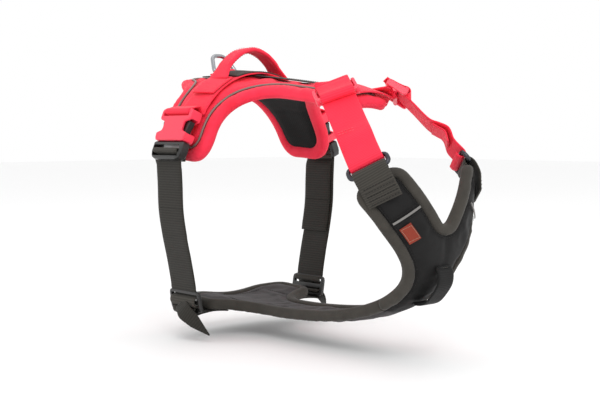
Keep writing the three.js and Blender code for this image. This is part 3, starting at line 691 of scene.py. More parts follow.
def knitted(name, colour, pitch_mm=0.9, roughness=0.85, sheen=0.35, depth=0.00018, dark=0.7):
    """Smooth stretch binding or cover: a fine knit, soft creases with painted shade, painted highlight on
    high spots.
    """
    n = Nodes(name, colour, roughness, sheen=sheen)
    n.set("Specular IOR Level", CLOTH_SPECULAR)
    place = n.cloth_place()
    one = n.bands(place, "X", 1000 / pitch_mm)
    two = n.bands(place, "Y", 1000 / pitch_mm)
    knit = n.maths("MULTIPLY", one, two)
    large = n.noise(n.object_place(), 30, 4, 0.6)
    crease = n.noise(n.object_place(), 110, 3, 0.6)
    # The crease noise also raises the bump, so this tint is painted shade in the creases and painted
    # highlight on the high spots.
    mixed = n.maths("ADD", n.maths("MULTIPLY", large, 0.6), n.maths("MULTIPLY", crease, 0.4))
    n.tint(n.between(mixed, 0.3, 0.7), dark, 1.18)
    n.rough(large, roughness - 0.1, min(1, roughness + 0.08))
    height = n.maths("ADD", n.maths("MULTIPLY", knit, 0.4), n.maths("MULTIPLY", crease, 0.9))
    n.bump(height, 0.5, depth * 2)
    return n.material


def mesh_cloth(name, colour, pitch_mm=1.6, roughness=0.85, sheen=0.2, dark=0.45):
    """Open air mesh: staggered round holes in a soft knit."""
    n = Nodes(name, colour, roughness, sheen=sheen)
    n.set("Specular IOR Level", CLOTH_SPECULAR)
    place = n.cloth_place()
    one = n.bands(place, "DIAGONAL", 1000 / pitch_mm)
    two = n.bands(place, "X", 1000 / pitch_mm)
    holes = n.maths("MULTIPLY", one, two)
    large = n.noise(n.object_place(), 24, 3)
    mixed = n.maths("ADD", n.maths("MULTIPLY", holes, 0.5), n.maths("MULTIPLY", large, 0.5))
    n.tint(n.between(mixed, 0.15, 0.7), dark, 1.15)
    n.rough(large, roughness - 0.1, min(1, roughness + 0.1))
    n.bump(holes, 0.5, 0.00025)
    return n.material


def moulded(name, colour, roughness=0.32, coat=0.25):
    """Moulded plastic: a fine spark-eroded grain, faint flow marks and handling wear."""
    n = Nodes(name, colour, roughness, coat=coat)
    place = n.object_place()
    large = n.noise(place, 40, 3)
    grain = n.noise(place, 2600, 2)
    n.tint(n.between(large, 0.3, 0.7), 0.9, 1.06)
    n.rough(large, roughness - 0.08, roughness + 0.12)
    n.bump(grain, 0.12, 0.0001)
    return n.material


def metal(name, colour, roughness=0.2):
    """Polished or plated metal: fine rub marks and a little dulling."""
    n = Nodes(name, colour, roughness, metallic=1.0)
    place = n.object_place()
    large = n.noise(place, 60, 3)
    fine = n.noise(place, 1800, 2)
    n.tint(n.between(large, 0.3, 0.7), 0.88, 1.05)
    n.rough(large, roughness - 0.06, roughness + 0.14)
    n.bump(fine, 0.06, 0.00005)
    return n.material


def glinting(name, colour):
    """Reflective tape or piping: fine glass-bead sparkle on grey cloth."""
    n = Nodes(name, colour, 0.4, metallic=0.25, sheen=0.1)
    place = n.object_place()
    beads = n.noise(place, 3200, 1)
    large = n.noise(place, 40, 3)
    mixed = n.maths("ADD", n.maths("MULTIPLY", beads, 0.4), n.maths("MULTIPLY", large, 0.6))
    n.tint(n.between(mixed, 0.3, 0.7), 0.72, 1.15)
    n.rough(beads, 0.3, 0.55)
    n.bump(beads, 0.25, 0.00006)
    return n.material


CORAL = (1.0, 0.036, 0.078)
coral_cloth = woven("coral_cloth", CORAL, 0.8, 0.8, 0.7, 0.3, 0.00012, dark=(0.86, 0.55, 0.62))
coral_knit = knitted("coral_knit", CORAL, 0.8, 0.72, 0.35, dark=(0.88, 0.6, 0.66))
coral_web = woven("coral_webbing", CORAL, 1.5, 0.75, 0.62, 0.3, 0.0002, dark=(0.86, 0.5, 0.6))
coral_thread = woven("coral_thread", (1.0, 0.13, 0.18), 0.5, 0.5, 0.6, 0.3)
taupe_knit = knitted("taupe_binding", (0.052, 0.047, 0.040), 0.8, 0.82, 0.4, dark=0.68)
dark_mesh = mesh_cloth("charcoal_mesh", (0.013, 0.0125, 0.0125))
foam = knitted("foam", (0.2, 0.2, 0.2), 1.2)
belly_face = knitted("belly_face", (0.060, 0.055, 0.056), 1.0, 0.8, 0.35, dark=0.7)
chest_cloth = woven("chest_cover", (0.0105, 0.010, 0.010), 0.9, 0.9, 0.72, 0.2, 0.00012, dark=0.7)
chest_inner = knitted("chest_inner", (0.042, 0.038, 0.033), 1.0, 0.82, 0.35)
dark_web = woven("dark_webbing", (0.032, 0.029, 0.024), 2.4, 0.9, 0.66, 0.3, 0.0003, dark=0.5)
black_web = woven("black_webbing", (0.006, 0.0058, 0.0058), 1.6, 0.8, 0.6, 0.2, 0.0002)
grey_web = woven("grey_webbing", (0.055, 0.050, 0.042), 2.0, 0.9, 0.66, 0.3, 0.0003, dark=0.5)
dark_thread = woven("dark_thread", (0.018, 0.017, 0.016), 0.5, 0.5, 0.6, 0.2)
grey_thread = woven("grey_thread", (0.16, 0.15, 0.13), 0.5, 0.5, 0.6, 0.2)
piping_cloth = glinting("reflective_piping", (0.24, 0.18, 0.16))
tape_cloth = glinting("reflective_tape", (0.22, 0.21, 0.20))
coral_plastic = moulded("coral_plastic", (1.0, 0.036, 0.085), 0.38, 0.1)
dark_plastic = moulded("dark_plastic", (0.012, 0.0115, 0.011), 0.35, 0.2)
aluminium = metal("aluminium", (0.36, 0.37, 0.39), 0.2)
gunmetal = metal("gunmetal", (0.07, 0.07, 0.08), 0.3)
patch_cloth = woven("grey_patch", (0.085, 0.078, 0.070), 0.9, 0.9, 0.75, 0.2, 0.00015)
label_cloth = woven("woven_label", (0.30, 0.045, 0.024), 0.5, 0.5, 0.6, 0.2, 0.0001)
label_edge = woven("label_edge", (0.60, 0.42, 0.30), 0.5, 0.5, 0.6, 0.2, 0.0001)


# How the coral and the dark straps are woven, in web_section's and webbing's terms.
CORAL_BAND = {"ribs": 0.05, "pitch": 1.6, "slot": "coral_webbing"}
CORAL_NECK = {"ribs": 0.05, "pitch": 1.5, "slot": "coral_webbing"}
GIRTH_BAND = {"ribs": 0.16, "smooth": False}


def coral_sewing(name, rows, body="harness", **options):
    stitches(name, rows, coral_thread, body, radius=0.25, slot="coral_webbing", **options)


# ------------------------------------------------------------------ saddle
SADDLE = rounded(mirrored([
    [22, 84, 18], [38, 48, 30], [112, 33, 25], [112, -34, 25], [31, -34, 50], [28, -164, 19],
]))
saddle_edge = evened(SADDLE, 3.0, closed=True)


def saddle():
    rolled_rim("saddle_binding", back, saddle_edge, SADDLE_RIM, SADDLE_THICK, coral_knit,
               pucker=0.85, stands_for=["saddle_rim"], slot="taupe_binding")
    inside = evened(inset(saddle_edge, SADDLE_RIM - 1.2), 3.0, closed=True)

    def top(flat, edge):
        return 9.2 + 2.2 * smoothstep(edge, 0, 9) + 0.35 * noisy(flat, 16, 4.0) * smoothstep(edge, 1, 8)

    def steps(flat):
        rows = [40, 58]
        return sum(0.8 * np.exp(-((np.abs(flat[:, 0]) - s) / 1.6) ** 2) for s in rows)

    def bottom(flat, edge):
        return 2.3 - 1.6 * smoothstep(edge, 0, 8) + steps(flat) * smoothstep(edge, 0, 5)

    panel = pad_layer("saddle_panel", back, inside, coral_cloth, raised(top, -1.2), top,
                      puff=("upper", 0.9, 0.02, 1.6), stands_for=["saddle_shell"],
                      slot="coral_mesh")
    core = pad_layer("saddle_core", back, inset(inside, 1.5), foam, level(4.0), level(7.6), spacing=8,
                     stands_for=["saddle_padding"], slot="foam")
    lining = pad_layer("saddle_inner", back, inside, dark_mesh, bottom, raised(bottom, 1.0),
                       stands_for=["saddle_lining"], slot="charcoal_lining")
    subdivide(panel)
    subdivide(lining)
    seam = evened(inset(saddle_edge, SADDLE_RIM - 0.3), 2.5, closed=True)
    height = 11.4 + 0.25 * noisy(seam, 12, 9.0)
    cord = above(back, seam, height)
    wire("piping", cord, above(back, seam, height + 1) - cord, 1.15, piping_cloth, sides=8,
         stands_for=["reflective_piping"], slot="reflective_tape")
    rows = []
    for s in (40, 58):
        for side in (-1, 1):
            v = np.linspace(-20, 20, 20)
            rows.append(on(back, side * s + 0 * v, v, 1.3 + 0 * v))
    stitches("lining_stitches", rows, dark_thread, slot="charcoal_lining")
    flange = evened(inset(saddle_edge, SADDLE_RIM + 2.8), 2.5, closed=True)
    coral_sewing("saddle_edge_stitches", [above(back, flange, 11.5)])


def along_row(s, v_from, v_to, height, form=back, count=24):
    v = straight(v_from, v_to, count)
    return on(form, s + 0 * v, v, height + 0 * v)


def across_row(s_from, s_to, v, height, form=back, count=24):
    s = straight(s_from, s_to, count)
    return on(form, s, v + 0 * s, height + 0 * s)


# ------------------------------------------------------------------ buckle axes
def buckle_axes():
    u = np.array([-math.cos(BUCKLE_LEAN), 0, -math.sin(BUCKLE_LEAN)])
    t = np.array([-math.sin(BUCKLE_LEAN), 0, math.cos(BUCKLE_LEAN)])
    seat_radius = SADDLE_RADIUS + BAND_HEIGHT + WEB_THICK + 0.3
    height = seat_radius * math.cos(BUCKLE_LEAN) - SADDLE_RADIUS
    seat = np.array([-seat_radius * math.sin(BUCKLE_LEAN), 0, height])
    mouth = seat + u * (seat[2] + BUCKLE_DROP) / -u[2]
    mouth[1] = -0.5
    return mouth, u, np.cross(t, u), t


MOUTH, DOWN, ALONG_DOG, OUT = buckle_axes()


def in_buckle(u, w, t):
    return MOUTH + DOWN * u + ALONG_DOG * w + OUT * t


def saddle_webbing():
    spine = np.column_stack([np.zeros(40), straight(66, -146, 40)])
    strip_on("spine_tape", back, spine, [1, 0], 12.2, 16, dark_web, thick=1.1, ribs=0.05,
             stands_for=["spine_strip"])
    rows = [along_row(s, 64, -144, 13.45, count=60) for s in (-6, 6)]
    stitches("spine_stitches", rows, grey_thread, slot="dark_webbing")
    # Over the saddle, over each buckle's bar, through its slot and back under itself.
    arc = straight(-1.02, 1.02, 41)
    radius = SADDLE_RADIUS + BAND_HEIGHT
    middle = [[radius * math.sin(a), -0.5, radius * math.cos(a) - SADDLE_RADIUS] for a in arc]
    hook = [(-38, 3.4), (-34, 10.2), (-31.5, 13.5), (-28, 13.5), (-26.4, 10), (-26.2, 3), (-29, -1)]
    right = [in_buckle(u, 0, t) for u, t in hook]
    left = [p * MIRROR for p in right]
    path = np.array(right[::-1] + middle + left)
    flare = [(0, 36), (0.07, 38), (0.12, 42), (0.17, 38.5), (0.22, 38), (0.78, 38), (0.83, 38.5),
             (0.88, 42), (0.93, 38), (1, 36)]
    webbing("back_webbing", path, np.array([0, -1, 0]), GIRTH_WIDTH, coral_web, widths=flare,
            step=1.0, stands_for=["back_band"], **CORAL_BAND)
    rows = [across_row(-56, 56, y, BAND_HEIGHT + 2.0, count=60) for y in (-16, 15)]
    coral_sewing("back_webbing_stitches", rows)


# ------------------------------------------------------------------ handle, ring and patch
def handle():
    arch = [[-39.8, 7.4], [-37.4, 11.2], [-32.5, 18.2], [-26.0, 25.4], [-17.5, 31.6], [-8, 35.6],
            [0, 36.8]]
    half = np.array([[x, 0, z] for x, z in arch])
    path = np.vstack([half, (half * MIRROR)[::-1][1:]])
    both = evened(curve_through(path), 1.2)
    run = lengths(both)
    t = run / run[-1]
    width = 19 + 9 * (1 - smoothstep(np.minimum(t, 1 - t), 0.0, 0.16))
    thick = 4.6 - 2.4 * (1 - smoothstep(np.minimum(t, 1 - t), 0.02, 0.18))
    angle = np.linspace(0, 2 * np.pi, 20, endpoint=False)
    x = np.sign(np.cos(angle)) * np.abs(np.cos(angle)) ** 0.45
    h = np.sign(np.sin(angle)) * np.abs(np.sin(angle)) ** 0.7
    crease = noisy_run(run, 9, 2.0)
    sag = noisy_run(run, 22, 5.0)
    section = np.empty((len(both), len(angle), 2))
    for k in range(len(angle)):
        around = np.column_stack([run, np.full_like(run, 6 * x[k]), np.full_like(run, 3 * h[k])])
        lump = bumps(around, 5, 7.0)
        section[:, k, 0] = x[k] * width / 2 * (1 + 0.03 * crease) + 0.6 * sag
        lumpy = 1 + 0.16 * lump * (t > 0.1) * (t < 0.9)
        section[:, k, 1] = h[k] * thick / 2 * lumpy + 0.25 * crease
    points, faces, uv = sweep(both, np.array([0, 1, 0]), section)
    make_piece("grab_handle", points, faces, coral_web, "handle", uv, ["handle"], "coral_webbing")
    middle = both[12:-12]
    out = np.cross(along_path(middle), [0, 1, 0])
    skin = 2.55 * np.interp(t[12:-12], [0, 0.2, 0.8, 1], [0.6, 1, 1, 0.6])[:, None]
    rows = [middle + out * sign * skin + np.array([0, y, 0]) for y in (-6.4, 6.4) for sign in (-1, 1)]
    stitches("handle_stitches", rows, coral_thread, "handle", radius=0.24, slot="coral_webbing")
    for name, side in SIDES.items():
        s = straight(53, 29, 14) * -side
        strip_on(f"{name}_handle_sewn_foot", back, np.column_stack([s, 0 * s]), [0, 1],
                 BAND_HEIGHT + WEB_THICK + 0.25, 33, coral_web, thick=1.7,
                 widths=[(0, 31), (0.15, 33), (0.75, 33), (1, 29)],
                 stands_for=[f"{name}_handle_foot"], **CORAL_BAND)
        up = BAND_HEIGHT + WEB_THICK + 2.0
        box = [across_row(-side * 51, -side * 31, y, up) for y in (-13.5, 12.5)]
        box += [along_row(-side * s0, -13.5, 12.5, up, count=14) for s0 in (51, 46, 33)]
        coral_sewing(f"{name}_handle_foot_stitches", box)


RING_Y = 37


def ring():
    outline = rounded([[15, 0, 4], [-15, 0, 4], [-8, 22, 8], [8, 22, 8]], 8)
    outline = evened(outline, 1.6, closed=True)
    lean = math.radians(35)
    base = on(back, 0.0, RING_Y, 15.6)
    rise = outline[:, 1]
    path = base + np.column_stack([outline[:, 0], rise * math.sin(lean), rise * math.cos(lean)])
    facing_out = np.array([0, math.cos(lean), -math.sin(lean)])
    wire("leash_ring_smooth", path, facing_out, 2.05, aluminium, "leash_ring", sides=16,
         stands_for=["leash_ring"], slot="aluminium")
    rise = [[-13, 0], [-8, 0.3], [-4.6, 2.9], [-2.2, 4.6]]
    profile = np.array(rise + [[-d, h] for d, h in reversed(rise)])
    row = np.column_stack([0 * profile[:, 0], RING_Y + 0.5 + profile[:, 0]])
    strip_on("ring_strap", back, row, [-1, 0], 13.6, 20, coral_web, lift=profile[:, 1], thick=1.7,
             step=0.6, stands_for=["ring_keeper"], **CORAL_BAND)
    rows = [across_row(-8, 8, RING_Y + 0.5 + d, 15.6) for d in (-12, -10, 10, 12)]
    coral_sewing("ring_strap_stitches", rows, pitch=2.6)


def patch():
    s = straight(-25, 25, 30)
    strip_on("name_patch_cloth", back, np.column_stack([s, 0 * s]), [0, 1], BAND_HEIGHT + 2.1, 34,
             patch_cloth, thick=1.0, ribs=0.0, step=1.2, stands_for=["name_patch"], slot="grey_patch")
    up = BAND_HEIGHT + 3.3
    rows = [across_row(-23.5, 23.5, y, up) for y in (-15.5, 14.5)]
    rows += [along_row(s0, -15.5, 14.5, up, count=12) for s0 in (-23.5, 23.5)]
    stitches("name_patch_stitches", rows, grey_thread, radius=0.22, pitch=2.4, length=1.7,
             slot="grey_patch")


# ------------------------------------------------------------------ girth straps
GIRTH_PATH = [(-97.5, -92), (-96.5, -118), (-92.5, -142), (-87, -166), (-82.3, -191)]
BELLY_SLIDER = np.array([-80.2, 0, -204.5])
SLIDER_DOWN = unit(np.array([0.16, 0, -1]))
SLIDER_OUT = np.array([SLIDER_DOWN[2], 0, -SLIDER_DOWN[0]])
GIRTH_SPLIT = 0.36  # share of the strap's run that moves with the insert
DOUBLED_SHARE = 0.62  # share of the run where the strap lies double


def at_slider(u, t):
    return BELLY_SLIDER + SLIDER_DOWN * u + SLIDER_OUT * t


def mirror_for(side, points):
    points = np.asarray(points, float)
    return points if side > 0 else points * MIRROR


def girth(name, side):
    across = np.array([0, -1, 0]) * side
    mouth_exit = in_buckle(INSERT_LENGTH - 2.4, 0, 4)
    mouth_exit[1] = 0
    keys = [mouth_exit] + [np.array([x, 0, z]) for x, z in GIRTH_PATH]
    keys += [at_slider(-12.5, 0.2), at_slider(-8.2, -0.8)]
    dense = evened(curve_through(keys), 1.0)
    cut = int(len(dense) * GIRTH_SPLIT)
    upper = mirror_for(side, dense[: cut + 1])
    strap = webbing(f"{name}_girth_webbing_upper", upper, across, GIRTH_WIDTH, dark_web, body=None,
                    stands_for=[f"{name}_girth_strap_upper"], **GIRTH_BAND)
    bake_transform(strap)
    second = dense + np.array([2.3, 0, 0]) * smoothstep(np.arange(len(dense)), 0, 10)[:, None]
    inner = mirror_for(side, second[: cut + 1]) + np.array([0, 2.2, 0])
    doubled = webbing(f"{name}_girth_doubled_upper", inner, across, GIRTH_WIDTH - 1, dark_web,
                      body=None, **GIRTH_BAND)
    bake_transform(doubled)
    lower = mirror_for(side, dense[cut:])
    webbing(f"{name}_girth_webbing", lower, across, GIRTH_WIDTH, dark_web,
            stands_for=[f"{name}_girth_strap"], **GIRTH_BAND)
    end = int(len(dense) * DOUBLED_SHARE)
    inner = mirror_for(side, second[cut:end]) + np.array([0, 2.2, 0])
    inner[-8:, 0] -= side * np.linspace(0, 0.5, 8)
    webbing(f"{name}_girth_doubled", inner, across, GIRTH_WIDTH - 1, dark_web, slot="dark_webbing",
            **GIRTH_BAND)


def buckle_turn(name, side):
    path = [[9.6, -0.4], [7.4, 1.8], [6.9, 6.5], [7.2, 11.2], [8.2, 13.6], [11, 13.6], [12.0, 11.2],
            [12.4, 6], [13.0, 1.2], [16.4, 0.6]]
    points = mirror_for(side, [in_buckle(u, 0.5, t) for u, t in path])
    across = np.array([0, 1, 0]) * side
    webbing(f"{name}_buckle_webbing", points, across, GIRTH_WIDTH - 0.6, grey_web, ribs=0.12,
            step=0.5, body=f"{name}_insert", thick=1.4, stands_for=[f"{name}_buckle_turn"])


def belly_hardware(name, side):
    across = np.array([0, -1, 0]) * side
    turn = [[-9.5, -3.2], [-5.0, -2.6], [-3.9, 0], [-3.2, 2.8], [-1.2, 3.9], [1.2, 3.9], [3.2, 2.8],
            [3.7, 0], [4.2, -3.0]]
    points = mirror_for(side, [at_slider(u, t) for u, t in turn])
    webbing(f"{name}_slider_webbing", points, across, GIRTH_WIDTH - 0.4, grey_web, ribs=0.12,
            step=0.5, thick=1.4, stands_for=[f"{name}_belly_turn"])
    bar = 8.9
    loop = []
    for a in np.radians(straight(200, -50, 14)):
        loop.append(at_slider(bar - 3.0 * math.cos(a), 3.6 * math.sin(a)))
    sewn = [on(under, -s, 34.0, 12.4) for s in (40, 50, 60)]
    points = mirror_for(side, sewn + loop)
    webbing(f"{name}_belly_loop", points, across * -1, 34, dark_web, thick=1.4, ribs=0.1, step=0.7,
            stands_for=[f"{name}_belly_tab"])
    tail(name, side)


def tail(name, side):
    """The strap's loose end, cut to a point and hanging out of the slider."""
    path = evened(curve_through([
        [-84, 2, -206.5], [-88.4, -8, -213], [-86.5, -18, -220], [-81.5, -25, -227.5],
        [-75.5, -30, -234.5],
    ]), 1.0)
    t = np.linspace(0, 1, len(path))
    width = np.interp(t, [0, 0.3, 0.6, 1], [15, 16, 13, 1.0])
    run = lengths(path)
    section = web_section(30, 1.5, run, 0.12, 2.4, waist=width)
    points, faces, _ = sweep(mirror_for(side, path), np.array([0.3 * side, -0.58, 0.74]), section)
    make_piece(f"{name}_girth_loose_end", points, faces, dark_web, uv=strap_uv(section, run),
               stands_for=[f"{name}_girth_tail"], slot="dark_webbing")


# ------------------------------------------------------------------ belly pad
def seam_open(corners, seam, past):
    """An outline whose sewn end is moved past its seam, so that the layers run on to it."""
    points = rounded(corners)
    moved = points.copy()
    moved[np.abs(points[:, 1] - seam) < 0.01, 1] += past
    return moved


BELLY = [
    [PAD_HALF, SEAM_V, 0], [PAD_HALF, 64, 24], [66, 54, 13], [66, 12, 13], [34, 0, 30],
    [-34, 0, 30], [-66, 12, 13], [-66, 54, 13], [-PAD_HALF, 64, 24], [-PAD_HALF, SEAM_V, 0],
]


def lower_pad(prefix, corners, seam, past, outer, inner, dents, rim_material):
    """The layers of the belly pad or of the chest piece. The lining faces the dog."""
    edge_line = rounded(corners)
    rolled_rim(f"{prefix}_binding", under, evened(edge_line, 3.0), PAD_RIM, PAD_THICK, rim_material,
               closed=False, pucker=0.7, seed=3.0, stands_for=[f"{prefix}_rim"],
               slot="taupe_binding")
    reach = PAD_RIM - 1.2
    past_seam = past - reach if past < 0 else past
    inside = evened(inset(seam_open(corners, seam, past_seam), reach), 3.0, closed=True)

    def high(flat, edge):
        lumps = 0.3 * noisy(flat, 14, 6.0) * smoothstep(edge, 1, 6)
        return 8.2 + 2.4 * smoothstep(edge, 0, 8) + lumps - dents(flat) * smoothstep(edge, 0, 4)

    def low(flat, edge):
        lumps = 0.35 * noisy(flat, 11, 8.0) * smoothstep(edge, 1, 6)
        return 2.7 - 2.0 * smoothstep(edge, 0, 8) + lumps + 0.7 * dents(flat) * smoothstep(edge, 0, 4)

    cover = pad_layer(f"{prefix}_cover", under, inside, outer, raised(high, -1.1), high,
                      puff=("upper", 0.7, 0.02, 1.0), stands_for=[f"{prefix}_shell"],
                      slot="chest_cover" if prefix == "chest" else "belly_cover")
    core = pad_layer(f"{prefix}_core", under, inset(inside, 1.5), foam, level(4.2), level(6.4), spacing=8,
                     stands_for=[f"{prefix}_padding"], slot="foam")
    lining = pad_layer(f"{prefix}_inner", under, inside, inner, low, raised(low, 1.0),
                       puff=("lower", 0.7, 0.02, 1.2), stands_for=[f"{prefix}_lining"],
                       slot="charcoal_lining")
    subdivide(cover)
    subdivide(lining)
    return inside


def belly():
    def dents(flat):
        s, v = flat[:, 0], flat[:, 1]
        inner = smoothstep(v, 10, 22) * (1 - smoothstep(v, 48, 60))
        quilt = 0.9 * np.exp(-((np.abs(s) - 30) / 2.2) ** 2) * inner
        places = ((-14, 26), (14, 26), (0, 44))
        tufts = sum(1.6 * np.exp(-((s - a) ** 2 + (v - b) ** 2) / 9) for a, b in places)
        return quilt + tufts

    lower_pad("belly", BELLY, SEAM_V, PAD_RIM + 1.5, belly_face, belly_face, dents, taupe_knit)
    rows = [along_row(s, 14, 56, 1.3, under, 20) for s in (-30, 30)]
    rows += [across_row(-44, 44, 20, 0.7, under, 30)]
    stitches("belly_stitches", rows, dark_thread, slot="belly_cover")


# ------------------------------------------------------------------ chest piece
ARM_LEAN = math.radians(37)
ARM_S, ARM_V, ARM_HALF = 63, CROTCH_V + 46, 23


def arm_edge(w, beyond=0.0):
    c, n = math.cos(ARM_LEAN), -math.sin(ARM_LEAN)
    return [ARM_S + w * c - beyond * n, ARM_V + w * n + beyond * c]


def chest_corners():
    outer, inner = arm_edge(ARM_HALF), arm_edge(-ARM_HALF)
    bend = outer[1] - (outer[0] - PAD_HALF) / math.tan(ARM_LEAN)
    seam = SEAM_V + SEAM_GAP
    half = [[PAD_HALF, seam, 0], [PAD_HALF, bend, 60], [*outer, 14], [*inner, 14]]
    return half + [[0, CROTCH_V, 8]] + [[-s, v, r] for s, v, r in reversed(half)]


def at_arm(w, beyond, height):
    s, v = arm_edge(w, beyond)
    return on(under, -s, v, height)


RING_HEIGHT, RING_BEYOND, RING_REACH, RING_HALF = 9.5, 12.4, 4.9, 17.5
NECK_TOP = np.array([-39.5, -161, -10])
ARM_TOP = at_arm(0, 0, RING_HEIGHT)
NECK_PULL = unit(ARM_TOP - NECK_TOP)
RING_MIDDLE = ARM_TOP - NECK_PULL * RING_BEYOND
ring_w = at_arm(-4, 0, RING_HEIGHT) - at_arm(4, 0, RING_HEIGHT)
RING_ACROSS = unit(ring_w - NECK_PULL * (ring_w @ NECK_PULL))
RING_OUT = np.cross(NECK_PULL, RING_ACROSS)


def at_ring(u, w, t):
    return RING_MIDDLE + NECK_PULL * u + RING_ACROSS * w + RING_OUT * t


def stitched_curve(v):
    """Distance from the middle of the two curved seams on the chest."""
    return 6 + 0.004 * (v - 240) ** 2


def chest():
    def dents(flat):
        s, v = flat[:, 0], flat[:, 1]
        middle = 1.3 * np.exp(-(s / 1.3) ** 2) * smoothstep(v, 262, 285)
        off_curve = np.abs(s) - stitched_curve(v)
        curves = 0.8 * np.exp(-(off_curve / 1.2) ** 2) * (1 - smoothstep(v, 265, 285))
        return middle + curves

    inside = lower_pad("chest", chest_corners(), SEAM_V + SEAM_GAP, -PAD_RIM, chest_cloth, chest_inner,
                       dents, taupe_knit)
    low, high = inside[:, 1].min() + 2, CROTCH_V - PAD_RIM - 3
    v = straight(max(low, 262), high, 20)
    rows = [on(under, 0 * v, v, 9.9 + 0 * v)]
    for side in (-1, 1):
        v = straight(low + 1, 280, 24)
        rows.append(on(under, side * stitched_curve(v), v, 10.3 + 0 * v))
    stitches("chest_stitches", rows, dark_thread, slot="chest_cover")
    edge = evened(inset(inside, 2.4), 2.5, closed=True)
    stitches("chest_edge_stitches", [above(under, edge, 10.0)], dark_thread, radius=0.24,
             slot="chest_cover")


def arm_hardware(name, side):
    ends = ((-RING_REACH, 1), (-RING_REACH, -1), (RING_REACH, -1), (RING_REACH, 1))
    corners = [[u, w * RING_HALF, 3.5] for u, w in ends]
    outline = evened(rounded(corners, 6), 1.4, closed=True)
    path = mirror_for(side, [at_ring(u, w, 0) for u, w in outline])
    wire(f"{name}_chest_ring_smooth", path, RING_OUT * np.array([side, 1, 1]), 2.0, gunmetal, sides=14,
         stands_for=[f"{name}_chest_ring"], slot="gunmetal")
    fold = [[-1.5, -3.0], [1.0, -2.7], [2.6, -1.3], [2.7, 0], [2.2, 1.8], [0, 2.9], [-3.6, 3.1]]
    across = RING_ACROSS * np.array([side, 1, 1])
    tape = PAD_THICK + 1.9
    lean = math.radians(22)

    def down_arm(d):
        return on(under, -ARM_S + d * math.sin(lean), ARM_V - d * math.cos(lean), tape)

    sewn = [down_arm(d) for d in (5, 13, 22)]
    points = mirror_for(side, [at_ring(RING_REACH - u, 0, t) for u, t in fold] + sewn)
    webbing(f"{name}_chest_tab_webbing", points, across * side, NECK_WIDTH, grey_web, ribs=0.12,
            step=0.7, pitch=2.2, stands_for=[f"{name}_chest_tab"])
    rows = []
    for d in (6, 9.5, 13, 16.5, 20):
        s0, v0 = -ARM_S + d * math.sin(lean), ARM_V - d * math.cos(lean)
        centre = on(under, s0, v0, tape + 2.0)
        rows.append(mirror_for(side, [centre + RING_ACROSS * w for w in straight(-12.5, 12.5, 10)]))
    stitches(f"{name}_chest_tab_stitches", rows, dark_thread, pitch=2.6, radius=0.3, slot="dark_webbing")
    bar = mirror_for(side, [at_arm(w, -40, 12.2) for w in straight(12.4, -12.4, 12)])
    wide = mirror_for(side, at_arm(0, -38, 0) - at_arm(0, -42, 0))
    webbing(f"{name}_reflective_strip", bar, wide * side, 1.9, tape_cloth, thick=0.9, ribs=0.0,
            stands_for=[f"{name}_reflective_bar"], slot="reflective_tape")
    across_arm = straight(13, -13, 12)
    rows = [mirror_for(side, [at_arm(w, b, 11.9) for w in across_arm]) for b in (-37.2, -42.8)]
    stitches(f"{name}_reflective_stitches", rows, dark_thread, pitch=2.4, radius=0.2,
             slot="chest_cover")


def label():
    path = [at_arm(6, b, 12.4) for b in straight(-46, -61, 10)]
    webbing("side_label_cloth", path, RING_ACROSS, 11, label_cloth, thick=0.8, ribs=0.0, step=0.6,
            stands_for=["right_side_label"], slot="woven_label")
    up = unit(at_arm(6, -53, 14) - at_arm(6, -53, 12)) * 0.85
    rows = [np.array(path[1:-1]) + up + RING_ACROSS * w for w in (-4.6, 4.6)]
    ends = (path[1], path[-2])
    rows += [np.array([p + up + RING_ACROSS * w for w in straight(-4.4, 4.4, 6)]) for p in ends]
    stitches("side_label_stitches", rows, label_edge, pitch=1.3, length=0.9, radius=0.2,
             slot="woven_label")


def front_loop():
    profile = [(-0.06, 0), (0, 0.04), (0.06, 0.45), (0.25, 0.93), (0.5, 1), (0.75, 0.93),
               (0.94, 0.45), (1, 0.04), (1.06, 0)]
    path = np.array([on(under, 0.0, mix(289, 256, t), 12.3 + 7.8 * h) for t, h in profile])
    webbing("front_loop_webbing", path, np.array([1, 0, 0]), 20, black_web, ribs=0.08, step=0.6,
            pitch=1.8, stands_for=["front_loop"])
    rows = [across_row(-8, 8, v, 14.0, under, 10) for v in (290.4, 254.6)]
    stitches("front_loop_stitches", rows, grey_thread, pitch=2.2, length=1.6, radius=0.22,
             slot="dark_webbing")


# ------------------------------------------------------------------ neck straps
NECK_END = at_ring(-15, 0, 3.1)
NECK_DOWN = unit(NECK_END - NECK_TOP)
neck_side = np.array([0.71, -0.64, 0.31])
NECK_ACROSS = unit(neck_side - NECK_DOWN * (neck_side @ NECK_DOWN))
NECK_OUT = np.cross(NECK_DOWN, NECK_ACROSS)


def at_neck(u, w, t):
    return NECK_TOP + NECK_DOWN * u + NECK_ACROSS * w + NECK_OUT * t


